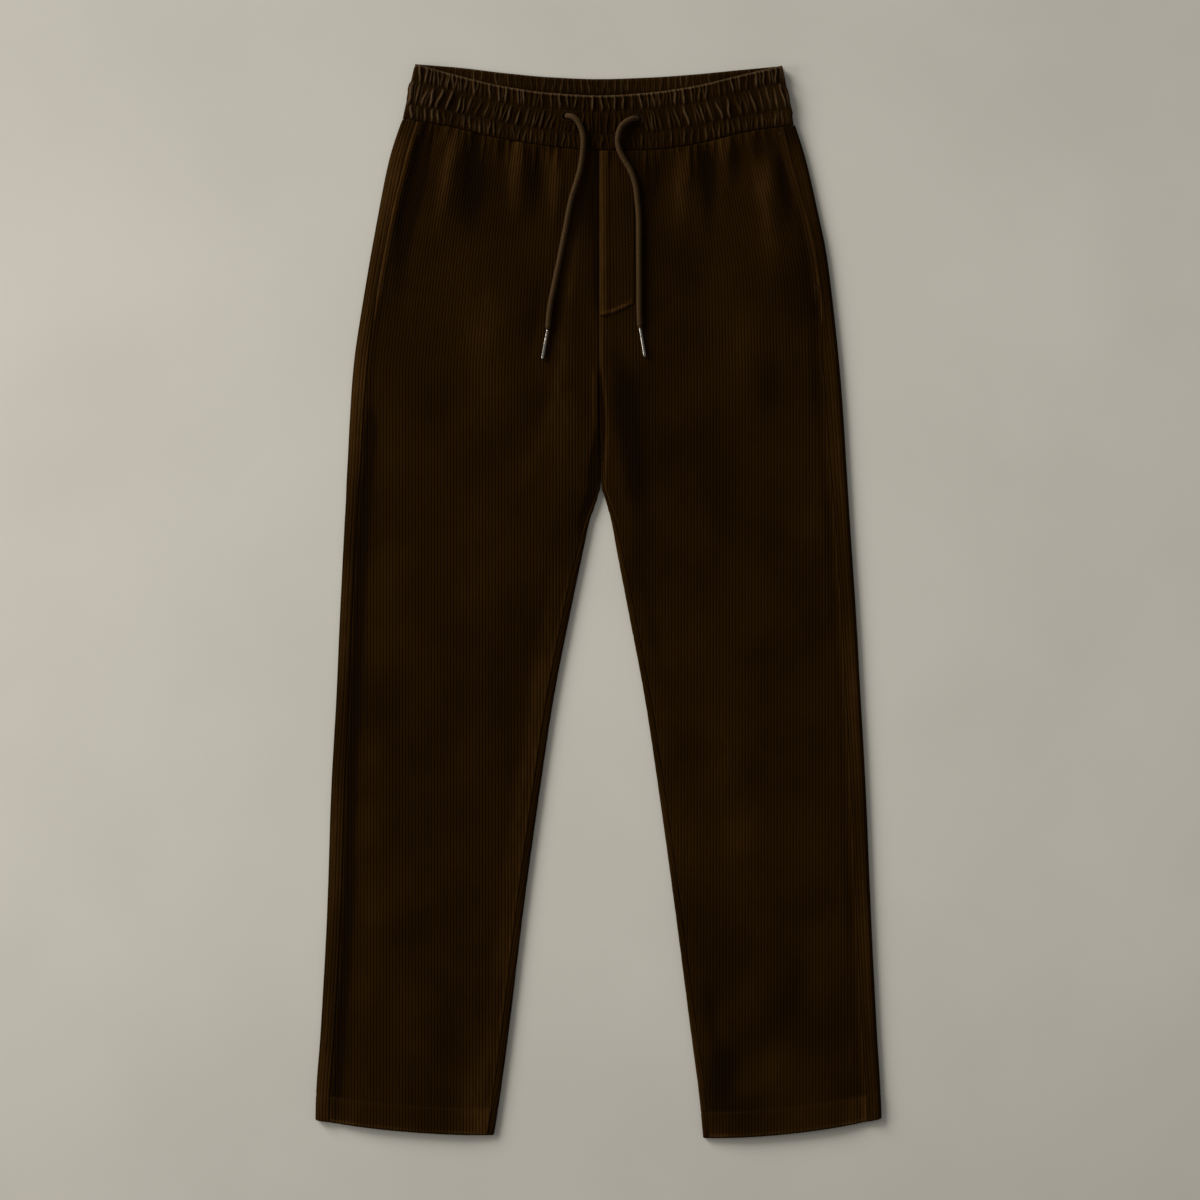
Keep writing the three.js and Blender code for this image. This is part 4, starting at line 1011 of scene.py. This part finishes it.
def back_inside(leg, starts):
    """Inside of a back panel: the same section 1.6 mm further in."""
    y = np.repeat(starts, 17, axis=1)
    for _ in range(4):
        ends = back_shape(leg, y * 0, y, BACK_WALL)[3]
        low, high, s, i, flat = (ends[k][:, :1] for k in ("low", "high", "s", "i", "flat"))
        chain = [low, low * 0.6, low * 0.25, low * 0, s * 0.5, s]
        chain += [s + flat * part for part in (0.1, 0.3, 0.5, 0.7, 0.9)]
        chain += [s + flat, s + flat + i * 0.5, s + flat + i]
        rest = high - s - flat - i
        chain += [s + flat + i + rest * part for part in (0.4, 0.75, 1.0)]
        x, y, z = back_rows(leg, starts, np.hstack(chain), BACK_WALL)
    return np.stack([x, y, z], -1)


fronts = {side: front_panel(side) for side in LEGS}
backs = {side: back_panel(side) for side in LEGS}


# Fly

FLY_TOP = 449.3
FLY_END = 285.0
FLY_LAP = 1.0
FLY_ROWS = [
    FLY_TOP - np.array([0, 0.6, 1.6]),
    np.arange(445.0, 299, -3.0),
    np.arange(297.0, 285.6, -1.1),
    [285.3, FLY_END],
]


def fly_width(y):
    """Width of the fly: straight sided, and below 297 mm turned in along a slant rounded off above."""
    t = np.clip((y - FLY_END) / 12.0, 0.0, 1.0)
    return lerp(4.0, 34.0, 0.35 * hump(t) + 0.65 * t)


def fly_heights(x, y):
    """Upper face of the fly, the front's below it, and the painted highlight on its ridge and its curled
    end.

    It lies on the left front, has a rounded ridge 10 mm wide along the middle seam, thins out towards its
    stitched side and is curled up along its slanting end.
    """
    c = section(LEGS["left"], y)
    base = front_height(LEGS["left"], np.maximum(x, c["inner"] + 2.4), y, c)[0]
    d = x - c["inner"] - FLY_LAP
    wide = fly_width(y)
    ridge = np.sin(np.pi * np.clip(d / 10.0, 0, 1)) ** 0.8
    thick = lerp(0.95, 0.28, np.clip(d / wide, 0, 1)) + 0.75 * ridge
    slant = fly_width(y + 0.5) - fly_width(y - 0.5) + 1e-6
    near_end = (wide - d) / np.sqrt(1 + slant * slant)
    near = np.minimum(np.minimum(d, near_end), (y - FLY_END) * 0.7 + 0.3)
    curl = smooth(304, 296, y)
    thick = thick + 0.8 * curl * bell(near_end, 2.8, 2.1)
    sewn = 0.3 * np.exp(-(((wide - d - 2.4) / 0.9) ** 2)) * smooth(450, 440, y)
    light = 0.25 * np.sin(np.pi * np.clip(d / 9.0, 0, 1)) + 0.4 * bell(d, 1.0, 1.6)
    light = light + 0.7 * curl * bell(near_end, 2.6, 2.2)
    return base + GAP + thick * hump(near / 0.9) - sewn, base, light


def fly_panel():
    """Fly: an overlay with the front's own ribs, straight at its side and curving in below in a J."""
    leg = LEGS["left"]
    starts = np.concatenate(FLY_ROWS)[:, None]
    q = rib_places(-1, 13)
    y = full_rows(starts, q)
    low = section(leg, y)["inner"] + FLY_LAP
    high = low + fly_width(y)
    spread = q * fan(leg, y)[:, BODY]
    x = columns_of(spread, low, high)
    z, _, light = fly_heights(x, y)
    across = x / fan(leg, y) / PITCH
    edge = within(x, low, high)
    z -= RIB * 0.9 * furrows(across, y) * edge
    # Painted highlight on the fly's ridge and curl, and a little painted shade at its two sides.
    painted_shading = 0.38 + light - 0.1 * (1 - edge)
    inner_x = lerp(low[:, :1], high[:, :1], np.linspace(0, 1, 8)[None, :])
    inner_y = starts + inner_x * 0
    inner = np.stack([inner_x, inner_y, fly_heights(inner_x, inner_y)[1] + 0.12], -1)
    cloth = np.stack([across, y / PITCH], -1)
    ids = merged_ids(spread, low, high)
    return shell("trouser_fly", "fly", np.stack([x, y, z], -1), ids, inner, cloth, painted_shading)


fly = fly_panel()


# Waistband

BAND_ROWS = ("top", "row1", "row2", "seam")
BAND_TOP = 537.0
BAND_DEEP = 54.0
BAND_ACROSS = 378.0
BAND_FLOOR = 4.8
BAND_FACE = 6.9
HOLE_FACE = 5.6
HOLES = ((-30.8, 484.0), (38.2, 481.4))
HOLE_STRAIGHT = 1.6
BULGE_AT = np.array([481, 484, 487, 490, 493, 496, 502, 508, 511, 514, 517, 520, 526, 532, 537.0])
BULGE_RIGHT = np.array([0.3, -0.9, 0.0, -0.7, -1.4, -0.6, 0.5, 0.8, 1.5, 1.6, 1.2, -0.3, -0.3, 0.0, -0.6])
BULGE_LEFT = np.array([0.4, -0.3, 1.6, 1.0, 0.4, 0.2, 1.0, 0.6, 0.3, -0.6, -1.4, -1.4, -1.4, -1.0, -1.2])


def band_edges(y, inset=0.0):
    """Ends of the waistband at each height: straight slants, with a bulge at each channel."""
    down = (BAND_TOP - y) / BAND_DEEP
    right = lerp(-183.5, -195.5, down) - np.interp(y, BULGE_AT, BULGE_RIGHT) + inset
    left = lerp(184.5, 193.5, down) + np.interp(y, BULGE_AT, BULGE_LEFT) - inset
    return right, left


def gather_rows(seed, count, lean, low, high):
    """Gathers of one channel: places across, half widths, heights, leans, bends and where each is
    highest, from seeded numbers. Three in four have a smaller one beside them."""
    rng = np.random.default_rng(seed)
    width = 1.0 + rng.uniform(-0.40, 0.40, count)
    at = (np.cumsum(width) - width / 2) / width.sum()
    x = lerp(-190.0, 188.0, at)
    half = rng.uniform(0.85, 1.5, count)
    height = rng.uniform(low, high, count)
    small = rng.choice(count, count * 3 // 4, replace=False)
    x = np.concatenate([x, x[small] + rng.uniform(2.6, 4.8, small.size)])
    half = np.concatenate([half, rng.uniform(0.65, 1.1, small.size)])
    height = np.concatenate([height, rng.uniform(0.25, 0.65, small.size) * high])
    lean_mm = np.clip(-x / 55.0, -1, 1) * lean + rng.uniform(-1.4, 1.4, x.size)
    bend = rng.uniform(-0.9, 0.9, x.size)
    return np.stack([x, half, height, lean_mm, bend, rng.uniform(0.35, 0.7, x.size)], 1)


CHANNELS = [
    (gather_rows(31, 52, 1.8, 0.9, 2.2), 0.4),
    (gather_rows(32, 49, 6.2, 1.0, 2.4), 0.6),
    (gather_rows(33, 60, 1.2, 0.7, 1.7), 0.3),
]


def channel(x, share, rows, swell, top):
    """Swell of a channel between its stitching, and its gathers: each a bell across, leaning and bent,
    that is strongest part of the way down."""
    f = np.clip(share, 0.0, 1.0)
    body = np.sin(np.pi * f) ** 0.5
    if top:
        body = np.where(f < 0.4, np.maximum(body, 0.82), body)
    ridges = np.zeros(np.broadcast(x, share).shape)
    for place, half, height, lean, bend, peak in rows:
        off = (x - place - lean * (0.5 - f) - bend * np.sin(2 * np.pi * f)) / half
        fade = np.sin(np.pi * np.clip(f, 0.02, 0.98) ** (np.log(0.5) / np.log(peak))) ** 0.45
        if top:
            fade = np.where(f < peak, np.maximum(fade, 0.8), fade)
        ridges = np.maximum(ridges, height * np.exp(-off * off) * fade)
    return swell * body, ridges


def band_height(x, y):
    """Upper face of the front waistband over a place, and its ridges: three channels between two rows
    of stitching, fuller at its ends, with a rolled top edge and two buttonholes for the drawstring."""
    top, row1, row2, seam = (band_line(x, name) for name in BAND_ROWS)
    down = [(top - y) / (top - row1), (row1 - y) / (row1 - row2), (row2 - y) / (row2 - seam)]
    parts = [channel(x, share, *CHANNELS[k], k == 0) for k, share in enumerate(down)]
    swell, ridges = (np.where(y > row1, a, np.where(y > row2, b, c)) for a, b, c in zip(*parts))
    right, left = band_edges(y)
    from_end = np.minimum(x - right, left - x)
    flat = np.ones(x.shape)
    hole = np.zeros(x.shape)
    for hx, hy in HOLES:
        flat *= smooth(5.5, 14.0, np.hypot(x - hx, y - hy))
        off = np.hypot(np.maximum(np.abs(x - hx) - HOLE_STRAIGHT, 0), y - hy)
        hole = np.maximum(hole, smooth(3.5, 2.7, off))
    swell = lerp(1.0, swell * (1 + 0.9 * np.exp(-from_end / 12.0)), flat)
    roll = 0.7 * np.exp(-(((top - y - 1.4) / 0.9) ** 2))
    z = BAND_FACE + swell + ridges * flat + roll
    return lerp(z, HOLE_FACE, hole), ridges * flat


def gathered_ribs(x, z, stretch):
    """Ribs across gathered cloth: the length along its own surface, times how far it is drawn in."""
    steps = np.hypot(np.diff(x, axis=1), np.diff(z, axis=1))
    run = np.hstack([np.zeros((x.shape[0], 1)), np.cumsum(steps, axis=1)])
    middle = run[:, run.shape[1] // 2][:, None]
    return (run - middle) * stretch / PITCH


def ring_shell(name, node, points, cloth, painted_shading):
    """Closed band from a grid whose rows run round its section: rows close on themselves, ends are
    filled from their middle."""
    rows, columns = points.shape[:2]
    ids = np.arange(rows * columns).reshape(rows, columns)
    flat = points.reshape(-1, 3)
    extra, faces = [], [skin(np.vstack([ids, ids[:1]]))]
    for column, turned in ((0, False), (columns - 1, True)):
        ring = ids[:, column]
        tip = len(flat) + len(extra)
        extra.append(flat[ring].mean(axis=0))
        a, b = (np.roll(ring, -1), ring) if turned else (ring, np.roll(ring, -1))
        faces.append(np.stack([a, b, np.full(rows, tip)], -1))
    points = np.vstack([flat, extra])
    grid = np.vstack([cloth.reshape(-1, 2), np.zeros((2, 2))])
    # Painted light and shade of the band; its two end points get a plain middle value.
    tone = np.concatenate([painted_shading.ravel(), [0.4, 0.4]])
    return piece(name, points, np.vstack(faces), GATHERED, [node], grid, tone)


def across_shares(count, close):
    """Shares across the waistband: evenly spaced, and closer together at its two ends."""
    ends = np.linspace(0, 0.012, close), np.linspace(0.988, 1, close)
    return np.unique(np.concatenate([ends[0], np.linspace(0.012, 0.988, count), ends[1]]))


def band_way(x, place):
    """Height on the front waistband, place counting its channels from the top edge down."""
    found = 0.0
    for k in range(3):
        drop = band_line(x, BAND_ROWS[k + 1]) - band_line(x, BAND_ROWS[k])
        found = found + np.clip(place - k, 0, 1) * drop
    return band_line(x, "top") + found


def band_grid(u, w):
    """Points of the front waistband, u across and w down its channels, and its two ends beside them."""
    x = u * BAND_ACROSS - BAND_ACROSS / 2 + w * 0
    for _ in range(5):
        y = band_way(x, w)
        right, left = band_edges(y)
        x = lerp(right, left, u)
    return x, y, right, left


FRONT_WAYS = [
    [0, 0.015, 0.04, 0.08, 0.13],
    np.linspace(0.2, 1, 10),
    np.linspace(1.05, 2, 20),
    np.linspace(2.07, 2.9, 11),
    [2.95, 2.985, 3.0],
]


def band_front():
    """Front waistband: its gathered face, rounded at its ends and edges, and its plain underside."""
    near_holes = np.concatenate([np.arange(hx - 10, hx + 10, 0.8) + 0.2 for hx, _ in HOLES])
    more = (near_holes + BAND_ACROSS / 2) / BAND_ACROSS
    u = np.unique(np.concatenate([across_shares(620, 7), more]))[None, :]
    w = np.concatenate(FRONT_WAYS)[:, None]
    x, y, right, left = band_grid(u, w)
    z, raised = band_height(x, y)
    from_end = np.minimum(x - right, left - x)
    down = band_line(x, "top") - y
    up = y - band_line(x, "seam")
    shape = hump(from_end / 3.0) * lerp(0.35, 1, hump(down / 2.2)) * lerp(0.6, 1, hump(up / 1.6))
    z = BAND_FLOOR + 0.5 + (z - BAND_FLOOR - 0.5) * shape
    across = gathered_ribs(x, z, 1.15)
    # Painted light and shade: highlights on the gathers, rolled top edge and ends, lighter toward the right
    # end, and the cords' painted shade in the middle.
    lit = 0.9 + 0.3 * smooth(-70, -180, x) - 0.45 * bell(x, 4.0, 42.0) * smooth(0.5, 1.6, w)
    painted_shading = 0.15 + 0.43 * raised * lit + 0.9 * bell(down, 1.2, 1.0) + 0.25 * np.exp(-from_end / 14.0)
    y = y - 1.6 * (1 - hump(from_end / 2.6)) * smooth(5.0, 0.0, down)
    under_x, under_y = band_grid(u, np.array([3.0, 2.0, 1.0, 0.0])[:, None])[:2]
    under = np.stack([under_x, under_y, under_x * 0 + BAND_FLOOR], -1)
    under_cloth = np.stack([under_x / 2.0, under_y / PITCH], -1)
    points = np.concatenate([np.stack([x, y, z], -1), under])
    cloth = np.concatenate([np.stack([across, y / PITCH], -1), under_cloth])
    # The underside gets a plain middle value of painted light and shade.
    tone = np.concatenate([np.clip(painted_shading, 0, 1), under_x * 0 + 0.35])
    return ring_shell("waist_front", "waistband_front", points, cloth, tone)


BACK_CHANNELS = [
    gather_rows(41, 56, 0.6, 0.5, 1.15),
    gather_rows(42, 50, 3.0, 0.5, 1.1),
    gather_rows(43, 58, 0.8, 0.4, 1.0),
]
BACK_STARTS = (0.0, 17.0, 40.0, BAND_DEEP)
BACK_MIDDLE = 1.7
BACK_DOWN = [0, 0.4, 1.0, 2.0, 3.2, 4.8, 6.5, 8.5, 10.5, 12.5, 14.5, 16, 17, 18.5, 22, 27, 32, 37, 40, 44]
BACK_DOWN += [49, 52, 53.5, 54]


def back_gathers(x, down):
    """Gathers of the back waistband in its three channels."""
    total = np.zeros(x.shape)
    for k, rows in enumerate(BACK_CHANNELS):
        f = (down - BACK_STARTS[k]) / (BACK_STARTS[k + 1] - BACK_STARTS[k])
        swell, ridges = channel(x, f, rows, 0.3, k == 0)
        total = np.where((f >= 0) & (f <= 1), swell + ridges, total)
    return total


def band_back():
    """Back waistband: gathered above, where it shows over the front's edge, and below."""
    u = across_shares(470, 6)[None, :]
    upper = np.array(BACK_DOWN)[:, None]
    down = np.vstack([upper, upper[::-1]])
    right, left = band_edges(BAND_TOP - down, 0.4)
    x = lerp(right, left, u)
    y = lerp(band_line(x, "back"), band_line(x, "under"), down / BAND_DEEP)
    raised = back_gathers(x, down + x * 0)
    from_end = np.minimum(x - right, left - x)
    edges = hump(from_end / 3.0) * hump((down + 0.15) / 1.5) * hump((54.15 - down) / 1.5)
    face = 2.75 + 1.1 * smooth(0, 4, down) + np.minimum(raised, 1.35) * 0.62 * smooth(24, 16, down)
    base = np.clip(1.15 - raised * 0.95, 0.0, 1.1)
    n = len(upper)
    above = BACK_MIDDLE + (face[:n] - BACK_MIDDLE) * edges[:n]
    below = BACK_MIDDLE - (BACK_MIDDLE - base[n:]) * edges[n:]
    z = np.vstack([above, below])
    cloth = np.stack([gathered_ribs(x, z, 1.2), y / PITCH], -1)
    # Painted highlights on the gathers and along the top edge, painted shade between them.
    painted_shading = np.clip(0.02 + 0.5 * raised + 0.2 * bell(down, 0.8, 1.0), 0, 1) + x * 0
    return ring_shell("waist_back", "waistband_back", np.stack([x, y, z], -1), cloth, painted_shading)


waist_front = band_front()
waist_back = band_back()


# Stitching

STITCH = 2.6
STITCH_GAP = 1.0
THREAD_RADIUS = 0.27
FLY_STITCH = 2.6
HOLE_STITCHES = 38


def stitches(name, starts, ends, up=0.12):
    """Short stitches between rows of points: each is a thread of seven rings of six corners, arched by
    a half sine and tapering into the cloth at both ends."""
    share = np.array([0.0, 0.06, 0.2, 0.5, 0.8, 0.94, 1.0])
    size = np.array([0.25, 0.7, 1.0, 1.0, 1.0, 0.7, 0.25]) * THREAD_RADIUS
    line = starts[:, None] + (ends - starts)[:, None] * share[None, :, None]
    line[:, :, 2] += (np.sin(np.pi * share) ** 0.6 * (up + 0.2) - 0.2)[None, :]
    along = (ends - starts) / np.linalg.norm(ends - starts, axis=1)[:, None]
    across = np.cross(along, (0.0, 0.0, 1.0))
    across /= np.linalg.norm(across, axis=1)[:, None]
    over = np.cross(across, along)
    turn = np.arange(6) * np.pi / 3
    ring = across[:, None] * np.cos(turn)[None, :, None] + over[:, None] * np.sin(turn)[None, :, None]
    points = line[:, :, None] + ring[:, None] * size[None, :, None, None]
    ids = np.arange(42).reshape(7, 6)
    body = skin(np.hstack([ids, ids[:, :1]]))
    caps = [[(0, k + 1, k) for k in range(1, 5)], [(36, 36 + k, 37 + k) for k in range(1, 5)]]
    one = np.vstack([body, *caps])
    every = (one[None] + 42 * np.arange(len(starts))[:, None, None]).reshape(-1, 3)
    return piece(name, points.reshape(-1, 3), every, THREAD)


def along_line(points, length=STITCH, gap=STITCH_GAP):
    """Starts and ends of a row of stitches along a line of points."""
    run = np.concatenate([[0.0], np.cumsum(np.linalg.norm(np.diff(points, axis=0), axis=1))])
    first = np.arange(gap, run[-1] - length, length + gap)

    def at(place):
        return np.stack([np.interp(place, run, points[:, k]) for k in range(3)], axis=1)

    return at(first), at(first + length)


def on_front(side, x, y):
    """Points on a front panel's crown, its furrows left out."""
    leg = LEGS[side]
    return np.stack([x, y, front_height(leg, x, y, section(leg, y))[0]], axis=1)


def front_thread(side):
    """Stitching of a front: its hem, its pocket mouth and the mouth's two bars."""
    leg = LEGS[side]
    sign = leg["sign"]
    y = np.full(200, leg["low"] + HEM_STITCH)
    for _ in range(6):
        c = section(leg, y)
        x = sign * np.linspace(c["inner"][0] + 9.5, c["side"][0] - c["seam"][0] - 2.0, 200)
        y = hem_y(leg, x) + HEM_STITCH
    rows = [along_line(on_front(side, x, y))]
    top, bottom = POCKETS[side]
    y = np.linspace(top, bottom, 120)
    c = section(leg, y)
    x = sign * (c["side"] - c["seam"] - GAP - POCKET_ROLL)
    rows.append(along_line(on_front(side, x, y)))
    for place, lines in ((bottom + 13.0, 9), (top - 3.0, 6)):
        y = place + np.linspace(-1.4, 1.4, lines)
        c = section(leg, y)
        mouth = c["side"] - c["seam"] - GAP
        one = on_front(side, sign * (mouth - 7.4), y - 0.25)
        two = on_front(side, sign * (mouth - 0.9), y + 0.25)
        rows.append((one, two))
    starts, ends = (np.vstack(points) for points in zip(*rows))
    return stitches("thread_front_" + side, starts, ends)


def back_thread(side):
    """Stitching of a back panel's hem, sunk in its groove on the underside."""
    leg = LEGS[side]
    c = section(leg, np.array(leg["low"] + 27.0))
    x = leg["sign"] * np.linspace(c["inner"] + 5.0, c["side"] - 5.0, 200)
    y = hem_y(leg, x) + HEM_STITCH
    starts, ends = along_line(np.stack([x, y, np.full(200, 0.42)], axis=1))
    return stitches("thread_back_" + side, starts, ends, up=0.0)


def fly_thread():
    """The fly's row of stitches: 2.6 mm inside its edge down its side, and up to 3.8 mm inside round its
    slanting end."""
    y = np.concatenate([np.linspace(447, 300, 80), np.linspace(299, 288.2, 40)])
    low = section(LEGS["left"], y)["inner"] + FLY_LAP
    x = low + fly_width(y) - FLY_STITCH - 1.2 * smooth(299, 290, y)
    z = fly_heights(x, y)[0]
    return stitches("thread_fly", *along_line(np.stack([x, y, z], axis=1)))


def band_thread():
    """The front waistband's two rows of stitches, and the buttonholes' edging."""
    starts, ends = [], []
    x = np.linspace(-186, 187, 700)
    for name in ("row1", "row2"):
        y = band_line(x, name)
        one, two = along_line(np.stack([x, y, band_height(x, y)[0] + 0.05], axis=1), 2.3, 1.1)
        starts.append(one)
        ends.append(two)
    turn = np.arange(HOLE_STITCHES) * 2 * np.pi / HOLE_STITCHES
    straight = np.sign(np.cos(turn)) * HOLE_STRAIGHT * np.minimum(1.0, np.abs(np.cos(turn)) * 2.2)
    for hx, hy in HOLES:
        for reach_out, into in ((5.5, ends), (3.1, starts)):
            px = hx + straight + reach_out * np.cos(turn)
            py = hy + reach_out * np.sin(turn)
            height = band_height(px, py)[0] if reach_out > 4 else np.full(HOLE_STITCHES, 7.5)
            into.append(np.stack([px, py, height], axis=1))
    return stitches("thread_waist", np.vstack(starts), np.vstack(ends))


for sew in (front_thread, back_thread):
    for side in LEGS:
        sew(side)
fly_thread()
band_thread()


# Floor, light and world

def floor_material():
    """Plain pale ground, faintly uneven, with painted shade that makes it a little darker beyond the
    garment's two ends.
    """
    mat = bpy.data.materials.new("pale_ground")
    mat.use_nodes = True
    tree = mat.node_tree
    n = Nodes(tree)
    shader = tree.nodes["Principled BSDF"]
    place = n.add("ShaderNodeTexCoord").outputs["Object"]
    soft = n.noise(place, 5.0, 4.0)
    tone = n.mix(n.ramp(soft, 0.3, 0.7), (0.520, 0.498, 0.437, 1), (0.545, 0.522, 0.460, 1))
    down = n.add("ShaderNodeSeparateXYZ", {0: place}).outputs[1]
    # Painted shade: the ground darkens toward the top and bottom of the view, beyond the garment's ends.
    ends = n.maths("ADD", n.ramp(down, -0.6, -0.25, 0.09, 0.0), n.ramp(down, 0.3, 0.6, 0.0, 0.07))
    tone = n.mix(ends, tone, (0.0, 0.0, 0.0, 1))
    tree.links.new(tone, shader.inputs["Base Color"])
    shader.inputs["Roughness"].default_value = 0.9
    shader.inputs["Specular IOR Level"].default_value = 0.1
    return mat


ground = bpy.data.meshes.new("ground")
corners = [(x, y, -0.0001) for x, y in ((-6, -6), (6, -6), (6, 6), (-6, 6))]
ground.from_pydata(corners, [], [(0, 1, 2, 3)])
ground.materials.append(floor_material())
ground_object = bpy.data.objects.new("ground", ground)
scene.collection.objects.link(ground_object)


def soft_lamp(name, toward, distance, size, energy, colour):
    """Round area lamp at a distance from the middle of the garment, facing it."""
    lamp = bpy.data.lights.new(name, "AREA")
    lamp.shape = "DISK"
    lamp.size = size
    lamp.energy = energy
    lamp.color = colour
    made = bpy.data.objects.new(name, lamp)
    direction = Vector(toward).normalized()
    made.location = direction * distance
    made.rotation_euler = direction.to_track_quat("Z", "Y").to_euler()
    scene.collection.objects.link(made)


soft_lamp("key", (-0.66, 0.60, 0.37), 9.5, 4.75, 1125.0, (1.0, 0.985, 0.96))
soft_lamp("fill", (-3.2, 0.1, 1.3), 3.45, 1.5, 48.0, (1.0, 0.985, 0.965))

world = bpy.data.worlds.new("room")
world.use_nodes = True
world.node_tree.nodes["Background"].inputs["Color"].default_value = (1.0, 0.99, 0.97, 1)
world.node_tree.nodes["Background"].inputs["Strength"].default_value = 0.275
scene.world = world
scene.view_settings.view_transform = "Standard"
